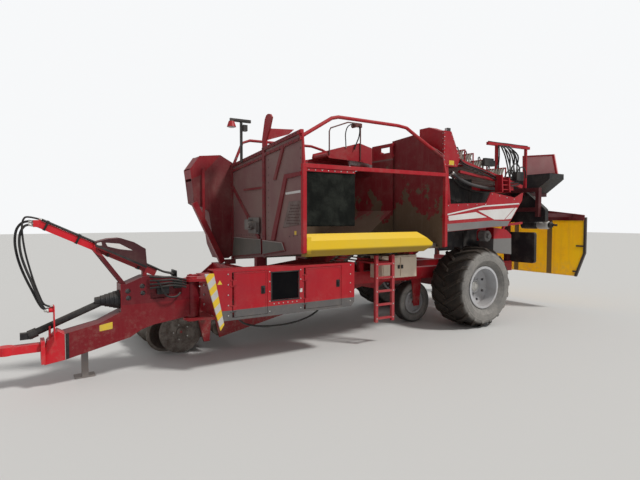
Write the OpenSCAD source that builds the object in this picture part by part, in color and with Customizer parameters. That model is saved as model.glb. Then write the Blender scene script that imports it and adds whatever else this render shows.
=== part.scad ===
// Towed two-row potato harvester: rows are lifted at the front right, carried
// back under the bunker on two rod webs, cleaned across the rear, sorted on the
// left and dropped into a bunker that unloads to the left.
// +X is forward, towards the tractor, +Y is the left side, +Z is up. Inside the
// modules X = 0 is the axle, Y = 0 the middle of the track and Z = 0 the ground.

/* [Overall] */
// Width over the main tyres
machine_w = 3000; // [2800:10:3300]
// Coupling cup's centre, ahead of the axle
hitch_x = 6850; // [6750:10:7000]
// Coupling cup's centre above the ground
hitch_z = 430; // [400:5:470]

/* [Wheels] */
// Radius of the main tyres out to the tips of the lugs
tyre_r = 690; // [660:5:700]
// Width of a main tyre
tyre_w = 710; // [600:5:720]
// Height of the lugs
lug_h = 42; // [25:1:50]
// Lugs on each half of a tread
lug_count = 18; // [14:1:20]
// Radius of the rim's bead seat
rim_r = 335; // [320:1:345]
// Radius of the wheel spindles
spindle_r = 60; // [45:1:70]
// Outer radius of the support wheel
support_r = 365; // [340:5:380]
// Width of the support wheel's tyre
support_w = 230; // [180:5:240]
// Support wheel's centre, ahead of the axle
support_x = 690; // [600:10:760]

/* [Frame] */
// Height of the frame beams
beam_h = 200; // [160:5:220]
// Width of the left frame beam
beam_w = 150; // [100:5:160]
// Underside of the frame beams above the ground
beam_z = 800; // [790:5:820]
// Width of the axle's square beam
axle_w = 160; // [130:5:180]

/* [Crop channel] */
// Left inner side of the crop channel
channel_left = 320; // [300:5:330]
// Right inner side of the crop channel
channel_right = -1300; // [-1310:5:-1200]
// Thickness of the channel's side sheets
channel_t = 20; // [10:1:25]
// Spacing of the rods in the webs
rod_pitch = 90; // [70:5:140]
// Diameter of a web rod
rod_d = 16; // [11:1:22]
// Diameter of the drums that the webs turn on
drum_d = 170; // [140:5:180]

/* [Bunker] */
// Outside of the bunker's front wall
bunker_front = 3530; // [3450:10:3560]
// Outside of the bunker's rear wall
bunker_rear = 1035; // [1030:5:1200]
// Outside of the bunker's right wall
bunker_right = -1100; // [-1200:10:-1000]
// Thickness of the bunker's walls
bunker_t = 25; // [15:1:35]
// Underside of the bunker at its right wall
bunker_z = 1150; // [1140:5:1160]
// Top of the front wall at its right end
bunker_top = 2795; // [2700:5:2850]
// Rise of the front wall's top towards the left, per metre of width
top_rise = 87; // [60:1:100]
// Rise of the floor towards the left, per metre of width
floor_rise = 100; // [80:1:105]
// Thickness of the moving floor
floor_t = 60; // [40:1:80]
// Joint between the bunker and its unloading end
head_y = 280; // [270:5:290]
// Running gap between the bunker and its unloading end
head_gap = 10; // [8:1:15]
// Diameter of the unloading end's tube frame
head_tube = 55; // [40:1:60]

/* [Left side] */
// Outside of the lower left side panels
skirt_y = 1420; // [1400:5:1450]
// Front end of the lower side panels
skirt_front = 4780; // [4700:10:4800]
// Rear end of the lower side panels
skirt_rear = 2730; // [2700:10:2760]
// Lower edge of the lower side panels
skirt_z0 = 640; // [600:5:680]
// Upper edge of the lower side panels
skirt_z1 = 1250; // [1200:5:1265]
// Thickness of doors and panels
panel_t = 25; // [15:1:30]
// Number of steps in the ladder
ladder_steps = 5; // [4:1:6]

/* [Drawbar] */
// Drawbar pivot, ahead of the axle
pivot_x = 4850; // [4840:5:4900]
// Drawbar's centre line, left of the middle
drawbar_y = 800; // [790:5:810]
// Width of the drawbar's box beam
drawbar_w = 260; // [220:5:270]
// Radius of the drawbar's pivot pin
pivot_r = 45; // [30:1:50]
// Radius of the coupling cup
cup_r = 40; // [30:1:45]
// Parking stand, ahead of the axle
stand_x = 6080; // [6040:10:6120]

/* [Lifting unit] */
// Lift pivot, ahead of the axle
lift_x = 3950; // [3940:5:3960]
// Lift pivot above the ground
lift_z = 860; // [840:5:880]
// Distance between the two rows
row_pitch = 750; // [700:10:760]
// Radius of the ridge rollers at their rims
roller_r = 250; // [220:5:260]
// Radius of the cutting discs
disc_r = 290; // [260:5:300]

/* [Hidden] */
$fn = 48;

red = "#a51c24";
maroon = "#6e2128";
dusty = "#8d7377";
steel = "#9a9c9e";
dark = "#2b2b2d";
rubber = "#3c3b39";
yellow = "#dcb62f";
tarp = "#d99a1e";

// Running fit of a pin in its bore, on the radius
fit_gap = 0.05;
// Gap between pieces of two bodies that pass each other
pass_gap = 5;

wheel_y = (machine_w - tyre_w) / 2;
wheel_in = machine_w / 2 - tyre_w;
left_beam_y = channel_left + 130;
channel_mid = (channel_left + channel_right) / 2;
rib_t = 22;
head_front = bunker_front + rib_t + head_gap + bunker_t;
head_rear = bunker_rear - rib_t - head_gap - bunker_t;
mouth_y = machine_w / 2 - 10;
mouth_top = 2550;
beam_top = beam_z + beam_h;

// Heights across the bunker: its underside, its moving floor's top and its rim
function under_z(y) = bunker_z + floor_rise * (y - bunker_right) / 1000;
function floor_z(y) = under_z(y) + bunker_t + floor_t;
function rim_z(y) = bunker_top + top_rise * (y - bunker_right) / 1000;

// Outline of a straight bar of width w from p to q
function bar(p, q, w) = let (d = q - p, n = [-d[1], d[0]] * w / (2 * norm(d)))
    [p + n, p - n, q - n, q + n];
function mix(a, b, f) = a + (b - a) * f;

// Outlines drawn in a plane and given their thickness along the third axis
module yz(x0, x1) { translate([x0, 0, 0]) rotate([90, 0, 90]) linear_extrude(x1 - x0) children(); }
module xz(y0, y1) { translate([0, y1, 0]) rotate([90, 0, 0]) linear_extrude(y1 - y0) children(); }
module xy(z0, z1) { translate([0, 0, z0]) linear_extrude(z1 - z0) children(); }
module block(x0, x1, y0, y1, z0, z1) {
    translate([x0, y0, z0]) cube([x1 - x0, y1 - y0, z1 - z0]);
}
// Round bar from point to point, and one along Y or X
module rod(p, q, d) {
    v = q - p;
    translate(p) rotate([0, acos(v[2] / norm(v)), atan2(v[1], v[0])]) cylinder(d = d, h = norm(v));
}
module rod_y(x, z, y0, y1, r) { translate([x, y0, z]) rotate([-90, 0, 0]) cylinder(r = r, h = y1 - y0); }
module rod_x(y, z, x0, x1, r) { translate([x0, y, z]) rotate([0, 90, 0]) cylinder(r = r, h = x1 - x0); }
// Tube of n sides bent through a list of points
function unit(v) = v / norm(v);
function ring(c, v, r, n) = let (u = unit(cross(v, [0, 1, 0])), w = cross(unit(v), u))
    [for (i = [0 : n - 1]) c + r * (u * cos(360 * i / n) + w * sin(360 * i / n))];
function tube_sides(m, n) = [for (i = [0 : m - 2], j = [0 : n - 1]) let (k = (j + 1) % n)
    [i * n + j, i * n + n + j, i * n + n + k, i * n + k]];
function tube_ends(m, n) = [[for (j = [0 : n - 1]) j], [for (j = [n - 1 : -1 : 0]) (m - 1) * n + j]];
module bent_tube(p, d, n, first = 0, last = 0) {
    m = len(p);
    rings = [for (i = [0 : m - 1]) each ring(p[i], i == 0 ? (first == 0 ? p[1] - p[0] : first)
        : i == m - 1 ? (last == 0 ? p[i] - p[i - 1] : last) : p[i + 1] - p[i - 1], d / 2, n)];
    polyhedron(rings, concat(tube_sides(m, n), tube_ends(m, n)));
}

// The origin lies under the middle of the whole outline, on the ground
cup_wall = 35;
curtain_x = -3050;
curtain_depth = 35;
front_end = hitch_x + cup_r + cup_wall;
rear_end = curtain_x - curtain_depth;
module place() { translate([-(front_end + rear_end) / 2, 0, 0]) children(); }

// Wheels, turned about their own axis with the outside towards +Z
bead_w = 275;
flange_t = 22;
rim_half = bead_w + 1 + flange_t;
hub_in = -60;
hub_out = 95;

// Half outline of a carcass from its bead to the middle of the tread, and the
// whole outline
function carcass(r, w) = [[rim_r, bead_w], [rim_r + 30, bead_w], [mix(rim_r, r, 0.40), w * 0.5],
    [mix(rim_r, r, 0.70), w * 0.5], [r - 46, w * 0.47], [r - 8, w * 0.38], [r, w * 0.26]];
function both(half) = concat(half, [for (i = [len(half) - 1 : -1 : 0]) [half[i][0], -half[i][1]]]);

// Lug: place along the axle as a share of the width, sweep in degrees, half
// width, depth of its foot and of its top below the tips of the lugs
lug_rows = [[-0.03, 3, 26, 58, 0], [0.22, -6, 25, 60, 3], [0.40, -13, 27, 84, 18], [0.493, -18, 32, 150, 84]];
function polar(r, a, z) = [r * cos(a), r * sin(a), z];
module lug(turn) {
    points = [for (k = lug_rows) let (a = k[1] * turn, h = k[2] * 57.3 / tyre_r, z = k[0] * tyre_w)
        each [polar(tyre_r - k[3], a - h, z), polar(tyre_r - k[4], a - h, z),
              polar(tyre_r - k[4], a + h, z), polar(tyre_r - k[3], a + h, z)]];
    polyhedron(points, concat(tube_sides(len(lug_rows), 4), tube_ends(len(lug_rows), 4)));
}
module tyre(turn) {
    rotate_extrude() polygon(both(carcass(tyre_r - lug_h, tyre_w)));
    for (i = [0 : lug_count - 1]) {
        rotate(360 * i / lug_count) lug(turn);
        rotate(360 * (i + 0.5) / lug_count) mirror([0, 0, 1]) lug(turn);
    }
}
module rim() {
    difference() {
        union() {
            rotate_extrude() polygon([[rim_r - 14, -rim_half], [rim_r + 26, -rim_half],
                [rim_r + 26, -rim_half + flange_t], [rim_r, -rim_half + flange_t],
                [rim_r, rim_half - flange_t], [rim_r + 26, rim_half - flange_t],
                [rim_r + 26, rim_half], [rim_r - 14, rim_half]]);
            rotate_extrude() polygon([[0, hub_in], [150, hub_in], [165, 0], [230, 22],
                [rim_r - 14, 60], [rim_r - 14, 84], [225, 44], [130, 30], [110, hub_out], [0, hub_out]]);
        }
        translate([0, 0, hub_in - 1]) cylinder(r = spindle_r + fit_gap, h = 120);
        for (a = [0 : 45 : 315]) rotate(a + 22.5) translate([262, 0, 0]) cylinder(r = 24, h = 120);
    }
}
module outward(side) { translate([0, side * wheel_y, tyre_r]) rotate([-90 * side, 0, 0]) children(); }
module tyre_left() { color(rubber) place() outward(1) tyre(1); }
module tyre_right() { color(rubber) place() outward(-1) tyre(-1); }
module rim_left() { color(steel) place() outward(1) rim(); }
module rim_right() { color(steel) place() outward(-1) rim(); }

// Axle: square beam with a drum, hub carrier and spindle at each end
drum_out = wheel_y + hub_in - pass_gap;
module axle_beam() {
    color(maroon) place() {
        block(-axle_w / 2, axle_w / 2, -wheel_in + 70, wheel_in - 70, tyre_r - axle_w / 2,
            tyre_r + axle_w / 2);
        for (s = [-1, 1]) translate([0, 0, tyre_r]) rotate([-90 * s, 0, 0]) {
            translate([0, 0, wheel_in - 75]) cylinder(r = 125, h = 60);
            translate([0, 0, wheel_in - 20]) cylinder(r = 205, h = drum_out - wheel_in + 20);
            translate([0, 0, drum_out - 1]) cylinder(r = spindle_r, h = 115);
        }
        for (y = [left_beam_y + beam_w / 2, right_beam_y + beam_w / 2])
            block(-130, 130, y - 75, y + 75, tyre_r + axle_w / 2 - 1, beam_z);
    }
}

// Support wheel on an arm below the left beam
support_y = 375;
support_hub_r = 30;
module support_tyre() {
    color(rubber) place() translate([support_x, support_y, support_r]) rotate([-90, 0, 0])
        for (m = [0, 1]) mirror([0, 0, m]) rotate_extrude() polygon([[190, 0], [190, 62], [215, 66],
            [250, support_w / 2], [support_r - 55, support_w / 2], [support_r - 12, support_w * 0.42],
            [support_r, support_w * 0.32], [support_r, 0]]);
}
module support_rim() {
    color(steel) place() translate([support_x, support_y, support_r]) rotate([-90, 0, 0]) difference() {
        union() {
            rotate_extrude() polygon([[178, -90], [206, -90], [206, -66], [190, -62], [190, 62],
                [206, 66], [206, 90], [178, 90]]);
            rotate_extrude() polygon([[0, -70], [55, -70], [60, 0], [178, 20], [178, 34], [70, 30],
                [55, 70], [0, 70]]);
        }
        translate([0, 0, -66]) cylinder(r = support_hub_r + fit_gap, h = 140);
    }
}

// Main frame: two long beams, cross beams, the head stock with the drawbar's
// yoke, and the brackets of the lifting unit and the support wheel
right_beam_y = -620;
frame_rear = -1900;
stock_x0 = 4450;
stock_x1 = 4620;
cross_front = 3620;
cross_rear = 800;
outer_beam_y = -1470;
outer_beam_w = 80;
yoke_z = [600, 1090];
yoke_t = 35;
boss_r = 95;
cross_top = bunker_z - 70;
skirt_in = skirt_y - 260;
module main_frame() {
    color(red) place() {
        block(frame_rear, stock_x0 + 1, left_beam_y, left_beam_y + beam_w, beam_z, beam_top);
        block(frame_rear, cross_rear + 1, right_beam_y, right_beam_y + beam_w, beam_z, beam_top);
        block(frame_rear, frame_rear + 120, outer_beam_y, left_beam_y + 1, beam_z, beam_top);
        block(cross_rear, cross_rear + 140, outer_beam_y, left_beam_y + 1, beam_z - 40, beam_z + 100);
        block(-1050, -900, outer_beam_y, left_beam_y + 1, beam_z, beam_top - 20);
        block(cross_front, cross_front + 160, outer_beam_y, left_beam_y + beam_w, beam_top - 20, cross_top);
        block(cross_rear + 139, cross_front + 160, outer_beam_y, outer_beam_y + outer_beam_w, beam_z - 40,
            beam_z + 100);
        block(cross_front, cross_front + 160, outer_beam_y, outer_beam_y + outer_beam_w, beam_z, cross_top);
        stock();
        lift_brackets();
        support_arm();
        skirt_arms();
        channel_seats();
        ladder_bracket();
        for (x = [1250, 1700]) block(x, x + 60, left_beam_y + beam_w - 1, 700, beam_z + 130, beam_top - 10);
    }
}
module stock() {
    block(stock_x0, stock_x1, left_beam_y, skirt_in, 620, 1100);
    for (z = yoke_z) xy(z - yoke_t / 2, z + yoke_t / 2) hull() {
        translate([pivot_x, drawbar_y]) circle(r = boss_r + 15, $fn = 32);
        translate([stock_x1 - 1, drawbar_y - 210]) square([1, 420]);
    }
    translate([pivot_x, drawbar_y, yoke_z[0] - yoke_t / 2 - 15])
        cylinder(r = pivot_r, h = yoke_z[1] - yoke_z[0] + yoke_t + 30);
    for (z = [yoke_z[0] - yoke_t / 2 - 20, yoke_z[1] + yoke_t / 2])
        translate([pivot_x, drawbar_y, z]) cylinder(r = pivot_r + 22, h = 20);
    for (z = [steer_z - 75, steer_z + 50]) xy(z, z + 25) hull() {
        translate(steer_base) circle(r = 45, $fn = 32);
        translate([stock_x1 - 1, steer_base[1] - 60]) square([1, 120]);
    }
    block(stock_x0, stock_x1, steer_base[1] - 60, left_beam_y + 1, steer_z - 75, steer_z + 85);
    translate([steer_base[0], steer_base[1], steer_z - 85]) cylinder(r = steer_pin_r, h = 170);
}
module lift_brackets() {
    for (b = [[channel_left + 90, -55, 30], [channel_right - 125, 0, 85]]) {
        xz(b[0], b[0] + 30) polygon([[cross_front + 20, beam_top - 10], [lift_x - 45, lift_z - 45],
            [lift_x + 45, lift_z - 45], [lift_x + 45, lift_z + 45], [cross_front + 160, cross_top],
            [cross_front + 20, cross_top]]);
        rod_y(lift_x, lift_z, b[0] + b[1], b[0] + b[2], lift_pin_r);
    }
}
module support_arm() {
    y = support_y + support_w / 2 + 15;
    xz(y, y + 25) polygon([[support_x - 60, support_r - 60], [support_x + 60, support_r - 60],
        [support_x + 110, beam_z + 1], [support_x - 110, beam_z + 1]]);
    rod_y(support_x, support_r, support_y - 65, y + 1, support_hub_r);
}
module skirt_arms() {
    for (x = [skirt_rear + 130, 3650])
        block(x, x + 90, left_beam_y + beam_w - 1, skirt_in, beam_z + 60, beam_z + 150);
}
// Landing at the top of the ladder, with the lug and pin that the ladder turns on
module ladder_bracket() {
    x = ladder_x[0];
    y = ladder_y - ladder_t;
    block(x - 40, x + 40, left_beam_y + beam_w - 80, left_beam_y + beam_w, beam_top - 1, 1230);
    block(x - 40, x + 40, left_beam_y + beam_w - 1, y - 10, 1190, 1230);
    block(x - 40, ladder_x[1] + 60, y - 400, y - 10, 1205, 1230);
    block(x - 35, x + 35, y - 30, y - 10, 1190, ladder_z + 30);
    rod_y(x, ladder_z, y - 11, ladder_y, ladder_pin_r);
}
// Seats that carry the crop channel's side sheets
module channel_seats() {
    for (x = [1900, 3000]) {
        block(x, x + 80, channel_left + channel_t, left_beam_y + 1, beam_z + 20, beam_z + 120);
        block(x, x + 80, outer_beam_y + outer_beam_w - 1, channel_right - channel_t, beam_z - 30,
            beam_z + 60);
    }
}

// Rear frame: posts and arms that carry the webs, the table, the side panels,
// the rear conveyor and the curtain
post_w = 90;
post_x = [cross_rear + 25, -1020, frame_rear + 15];
table_y0 = 420;
table_y1 = 1240;
rear_post_y = left_beam_y + 30;
curtain_z = 1930;
deck_z = 2380;
deck_t = 80;
trough_z = 2080;
right_post_y = outer_beam_y + 5;
rear_arm_y = [right_post_y, table_y1 - 70];
deck_x = [330, post_x[0]];
deck_y1 = 1000;
hood_z = 2724;
wedge_seat = 2382;
motor_y = 1080;
module rear_frame() {
    color(red) place() {
        for (x = post_x) block(x, x + post_w, rear_post_y, rear_post_y + post_w, beam_top, deck_z + deck_t);
        block(post_x[0], post_x[0] + post_w, right_post_y, right_post_y + 70, beam_z + 100, 1300);
        block(post_x[1], post_x[1] + post_w, right_post_y, right_post_y + 70, beam_top - 20, 2300);
        block(post_x[2], post_x[2] + post_w, right_post_y, right_post_y + 70, beam_top, 2300);
        block(post_x[1], post_x[0] + post_w, rear_post_y, rear_post_y + post_w, 1760, 1840);
        for (x = [post_x[0], -480]) block(x, x + post_w, rear_post_y + post_w - 1, skirt_y, 1760, 1840);
        for (x = deck_x) block(x, x + post_w, rear_post_y, deck_y1, deck_z, deck_z + deck_t);
        for (x = [post_x[1], post_x[2]]) block(x, x + post_w, rear_post_y, table_y1, deck_z, deck_z + deck_t);
        block(post_x[2], post_x[0] + post_w, rear_post_y, rear_post_y + post_w, deck_z, deck_z + deck_t);
        hood_post();
        motor_bracket();
        for (x = [post_x[1], post_x[2]]) block(x, x + post_w, right_post_y, rear_post_y + 1,
            trough_z - 80, trough_z);
        block(post_x[2], post_x[2] + post_w, rear_post_y + 1, table_y1, trough_z - 80, trough_z);
        for (y = rear_arm_y) rear_arm(y);
        channel_holders();
        block(-2600, post_x[2] + post_w, 0, 80, trough_z - 1, 2150);
        block(-2600, post_x[2] + post_w, 810, 890, wedge_seat - 70, wedge_seat);
    }
}
// Post under the outer side of the hood, on an arm of its own
hood_foot_x = 570;
module hood_post() {
    block(hood_foot_x, hood_foot_x + post_w, rear_post_y + post_w - 1, table_y1 - 10, 1760, 1840);
    xz(table_y1 - 70, table_y1 - 10) polygon([[hood_foot_x + 5, 1800], [hood_foot_x + 65, 1800],
        [740, hood_z], [680, hood_z]]);
}
// Plate that hangs a drive motor below the arm of the side panels
module motor_bracket() {
    xz(motor_y - 20, motor_y) polygon([[-480, 1765], [-390, 1765], [-250, 1640], [-250, 1470],
        [-430, 1470], [-480, 1600]]);
}
// Arm that reaches back to the curtain's hinge, with its pin
module rear_arm(y) {
    out = y > 0 ? 1 : 0;
    block(curtain_x, post_x[2] + 1, y, y + 70, curtain_z - 35, curtain_z + 35);
    rod_y(curtain_x, curtain_z, y, y + 70, 35);
    block(post_x[2], post_x[2] + post_w, y, y + 70, curtain_z - 35, out == 1 ? deck_z + 1 : curtain_z + 35);
    rod_y(curtain_x, curtain_z, y + 69, y + 70 + hanger_gap + hanger_t, curtain_pin_r);
}
module channel_holders() {
    for (h = [[post_x[0], 1150], [post_x[1], 2190]]) {
        block(h[0], h[0] + post_w, right_post_y + 69, channel_right - channel_t, h[1], h[1] + 70);
        block(h[0], h[0] + post_w, channel_left + channel_t, rear_post_y + 1, h[1], h[1] + 70);
    }
}

// Crop channel: a side sheet on each side of both webs
web_a0 = [4300, 290];
web_a1 = [1760, 850];
web_b0 = [1540, 775];
web_b1 = [-1250, 2480];
function off(p, q, u, v) = let (d = (q - p) / norm(q - p)) p + d * u + [-d[1], d[0]] * v;
module channel_side() {
    polygon([off(web_a0, web_a1, -40, 110), off(web_a0, web_a1, -40, -240), [cross_front, 880],
        off(web_a1, web_a0, -160, 240), [head_rear - 10, 1240], [head_rear - 30, 1640],
        off(web_b1, web_b0, -60, 420), off(web_b1, web_b0, -60, -150), off(web_b0, web_b1, 0, 150),
        off(web_a0, web_a1, 2560, 130)]);
}
// Rails along the sheets' upper edges, and the ribs across the right one
sheet_edge = [[925, 1625], [-1085, 2842]];
sheet_rib = 18;
module web_channel() {
    right = channel_right - channel_t;
    color(red) place() {
        xz(channel_left, channel_left + channel_t) channel_side();
        xz(right, channel_right) channel_side();
        xz(channel_left + channel_t - 1, channel_left + channel_t + sheet_rib)
            polygon(bar(sheet_edge[0], sheet_edge[1], 50));
        xz(right - sheet_rib, right + 1) {
            polygon(bar(sheet_edge[0], sheet_edge[1], 50));
            for (f = [0.2, 0.45, 0.7]) let (p = mix(sheet_edge[0], sheet_edge[1], f))
                polygon(bar(p, off(p, sheet_edge[1], 0, 500), 45));
        }
    }
}

// Outline of a belt round two drums at a distance l, with n straight pieces to
// each half turn
function belt_line(l, r, n) = concat([for (i = [0 : n]) [l, 0] + r * [sin(180 * i / n), cos(180 * i / n)]],
    [for (i = [0 : n]) -r * [sin(180 * i / n), cos(180 * i / n)]]);
// Rod webs: drums, side belts and the rods between them
belt_t = 14;
belt_w = 70;
belt_arc = 10;
web_gap = 12;
shaft_r = 30;
module web(p, q) {
    l = norm(q - p);
    r = drum_d / 2;
    n = floor(l / rod_pitch);
    y0 = channel_right + web_gap;
    y1 = channel_left - web_gap;
    translate([p[0], 0, p[1]]) rotate([0, -atan2(q[1] - p[1], q[0] - p[0]), 0]) {
        for (x = [0, l]) rod_y(x, 0, y0, y1, r);
        for (y = [y0, (y0 + y1 - belt_w) / 2, y1 - belt_w]) xz(y, y + belt_w) difference() {
            polygon(belt_line(l, r + belt_t, belt_arc));
            polygon(belt_line(l, (r + 0.3) / cos(90 / belt_arc), belt_arc));
        }
        for (i = [0 : n], s = [-1, 1])
            translate([mix(30, l - 30, i / n), y0, s * (r + belt_t + 3)]) rotate([-90, 0, 0])
                cylinder(d = rod_d, h = y1 - y0, $fn = 6);
    }
}
module webs() {
    color(steel) place() {
        web(web_a1, web_a0);
        web(web_b1, web_b0);
        for (p = [web_a0, web_a1, web_b0, web_b1])
            rod_y(p[0], p[1], channel_right + 0.3, channel_left - 0.3, shaft_r);
    }
}

// Bunker: front, right and rear walls, a sloping rear bottom and the floor plate
slope_x = 1950;
slope_z = 2000;
rear_top = 3200;
module front_outline(y0, y1) {
    polygon([[y0, under_z(y0)], [y1, under_z(y1)], [y1, rim_z(y1)], [y0, rim_z(y0)]]);
}
// The rear wall is low at the right, where the filling belt comes in
rear_low = 2650;
gate_y = -300;
module rear_outline(y0, y1) {
    difference() {
        polygon([[y0, slope_z], [y1, slope_z], [y1, rear_top], [gate_y, rear_top], [gate_y, rear_low],
            [y0, rear_low]]);
        translate([-60, 3040]) square([260, 100]);
    }
}
module bunker_walls() {
    y0 = bunker_right;
    y1 = head_y - head_gap;
    color(dusty) place() {
        yz(bunker_front - bunker_t, bunker_front) front_outline(y0, y1);
        yz(bunker_rear, bunker_rear + bunker_t) rear_outline(y0, y1);
        xz(y0, y0 + bunker_t) polygon([[bunker_front, under_z(y0)], [slope_x, under_z(y0)],
            [bunker_rear, slope_z],
            [bunker_rear, rear_top], [2600, 2850], [bunker_front, bunker_top]]);
        xz(y0, y1) polygon(bar([slope_x, under_z(y1)], [bunker_rear + 12, slope_z], bunker_t));
        xz(y1 - bunker_t, y1) polygon([[slope_x + 10, under_z(y1)], [bunker_rear, under_z(y1)],
            [bunker_rear, slope_z + 20]]);
        yz(slope_x - 10, bunker_front) polygon([[y0, under_z(y0)], [y1, under_z(y1)],
            [y1, under_z(y1) + bunker_t], [y0, under_z(y0) + bunker_t]]);
        bunker_ribs(y0, y1);
        rear_ribs(y0, y1);
        side_ribs(y0);
        bunker_upright();
        bent_tube([[bunker_front - 8, arch_right_y, 2760], [3342, arch_right_y, 3186],
            [3197, arch_right_y, 3240],
            [1927, arch_right_y, 3240], [1690, arch_right_y, 3190],
                [bunker_rear + 10, arch_right_y, 2930]], arch_d, 12);
        bunker_feet(y0, y1);
        tilt_lugs();
        fill_lugs();
    }
}
arch_right_y = -1068;
module bunker_ribs(y0, y1) {
    yz(bunker_front - 1, bunker_front + rib_t) {
        polygon(bar([y0 + 5, rim_z(y0) - 25], [y1, rim_z(y1) - 25], 50));
        polygon(bar([y0 + 40, rim_z(y0) - 115], [y1, rim_z(y1) - 115], 40));
        polygon(bar([y0 + 40, rim_z(y0)], [y0 + 40, under_z(y0)], 80));
        polygon(bar([y1 - 45, rim_z(y1)], [y1 - 45, under_z(y1)], 90));
        polygon(bar([-1022, 2410], [40, 1558], 60));
        polygon(bar([-534, 2335], [y1 - 80, 2335], 32));
        polygon([[y0 + 60, 1200], [y1 - 150, 1318], [y1 - 166, 1550], [-974, 1548]]);
    }
}
// Rails behind the rear wall, round its window
module rear_ribs(y0, y1) {
    yz(bunker_rear - rib_t, bunker_rear + 1) {
        polygon(bar([gate_y, rear_top - 25], [y1, rear_top - 25], 50));
        polygon(bar([gate_y, 2985], [y1, 2985], 50));
        polygon(bar([gate_y + 30, rear_top], [gate_y + 30, rear_low - 200], 60));
        polygon(bar([y0 + 30, rear_low - 25], [gate_y, rear_low - 25], 50));
    }
}
// Uprights and top rail outside the right wall
module side_ribs(y0) {
    for (x = [2150, 2700, 3250]) block(x, x + 60, y0 - rib_t, y0 + 1, bunker_z, 2790);
    xz(y0 - rib_t, y0 + 1) {
        polygon(bar([1060, 3165], [2600, 2822], 45));
        polygon(bar([2600, 2822], [nose_x0 - 5, bunker_top - 22], 45));
    }
}
// Round-headed plate and its stay on top of the front wall
module bunker_upright() {
    yz(bunker_front - bunker_t, bunker_front)
        polygon([[130, 2890], [128, 3063], [226, 3356], [275, 3405], [337, 3417],
        [405, 3402], [461, 3347], [389, 3202], [268, 3040], [268, 2890]]);
    xz(200, 208) polygon([[bunker_front - 5, 3035], [bunker_front - 5, 3090], [3426, 3232], [3012, 3256],
        [3108, 3172]]);
}
module bunker_feet(y0, y1) {
    for (y = [y0 + 20, y1 - 120]) block(cross_front - 110, cross_front + 60, y, y + 90, cross_top,
        under_z(y) + 5);
    block(slope_x - 20, slope_x + 100, outer_beam_y, y0 + 60, bunker_z - 60, bunker_z + 2);
    block(slope_x - 20, slope_x + 100, outer_beam_y, outer_beam_y + outer_beam_w, beam_z + 100, bunker_z + 2);
    block(1400, 1500, y1 - 60, left_beam_y + 60, under_z(y1) - 30, under_z(y1) + 1);
    block(1400, 1500, left_beam_y, left_beam_y + 60, beam_top, under_z(y1) + 1);
}
// Lugs and pins that the unloading end turns on
module tilt_lugs() {
    for (b = [[bunker_front - 1, bunker_front + rib_t, bunker_front, head_front + 6],
              [bunker_rear - rib_t, bunker_rear + 1, head_rear - 6, bunker_rear]]) {
        yz(b[0], b[1]) hull() {
            translate([tilt_y, tilt_z()]) circle(r = 48, $fn = 32);
            translate([head_y - head_gap - 90, tilt_z() - 30]) square([5, 110]);
        }
        rod_x(tilt_y, tilt_z(), b[2], b[3], tilt_pin_r);
    }
}
// Lugs and pins at the foot of the filling belt
module fill_lugs() {
    for (b = [[fill_y[0] - 40, 0, 65], [fill_y[1] + 10, -35, 30]]) {
        xz(b[0], b[0] + 30) polygon([[bunker_rear + 5, rear_low - 220], [bunker_rear + 5, rear_low - 20],
            [fill_x + 40, fill_z + 40], [fill_x - 40, fill_z + 40], [fill_x - 40, fill_z - 50]]);
        rod_y(fill_x, fill_z, b[0] + b[1], b[0] + b[2], fill_pin_r);
    }
}
// Moving floor with its slats
slat_pitch = 150;
module moving_floor(y0, y1, x0, x1) {
    yz(x0, x1) polygon([[y0, floor_z(y0) - floor_t], [y1, floor_z(y1) - floor_t], [y1, floor_z(y1)],
        [y0, floor_z(y0)]]);
    for (y = [y0 + 60 : slat_pitch : y1 - 60])
        yz(x0 + 30, x1 - 30) translate([y, floor_z(y) - 1]) square([30, 26]);
}
module bunker_floor() {
    color(dark) place() moving_floor(bunker_right + bunker_t, head_y - head_gap - 2, slope_x + 60,
        bunker_front - bunker_t);
}

// Bay at the front right with its sloping hood, carried on a slanting strut
nose_y0 = -1460;
nose_t = 20;
nose_x0 = bunker_front - 100;
hood_low = [[3734, 2953], [3910, 2758], [4062, 2604], [4240, 2519]];
hood_high = [[4262, 2687], [4100, 2915]];
strut_w = 90;
module bunker_nose() {
    top = [hood_low[3], hood_high[0], hood_high[1], hood_low[0]];
    color(maroon) place() {
        for (y = [nose_y0, bunker_right - nose_t]) xz(y, y + nose_t) polygon(concat(hood_low, hood_high));
        for (i = [0 : 2]) xz(nose_y0 + nose_t - 1, bunker_right - nose_t + 1)
            polygon(bar(inward(mix(top[i], top[i + 1], 0.05)), inward(mix(top[i], top[i + 1], 0.95)), 14));
        xz(bunker_right, bunker_right + strut_w)
            polygon(bar([4215, 2127], [cross_front + 110, cross_top + 29], strut_w));
        xz(bunker_right, bunker_right + 40) polygon([[4025, 1720], [4070, 1810], [4070, 2700], [4025, 2720]]);
        block(4030, 4065, bunker_right - 10, bunker_right + 10, 2650, 2700);
    }
}
function inward(p) = p - 8 * unit(p - [3960, 2700]);
// Bay behind the hood: two side sheets and the bent sheet round its front
bay_front = [[4195, 2130], [3950, 1990], [3930, 1900], [3860, 1420], [3760, 1180], [3600, 1180],
    [nose_x0 + 7, 1300]];
module nose_bay() {
    color(dusty) place() {
        for (y = [nose_y0, bunker_right - nose_t]) xz(y, y + nose_t)
            polygon(concat(bay_front, [[nose_x0, 1300], [nose_x0, 2790]], hood_low));
        for (i = [0 : 5]) xz(nose_y0 + 1, bunker_right - 1) polygon(bar(bay_front[i], bay_front[i + 1], 12));
        xz(nose_y0 + nose_t - 1, bunker_right - nose_t + 1) polygon(bar([4225, 2490], bay_front[0], 12));
        block(nose_x0, nose_x0 + 12, nose_y0 + 1, bunker_right - 1, 1300, 2780);
    }
}

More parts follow.
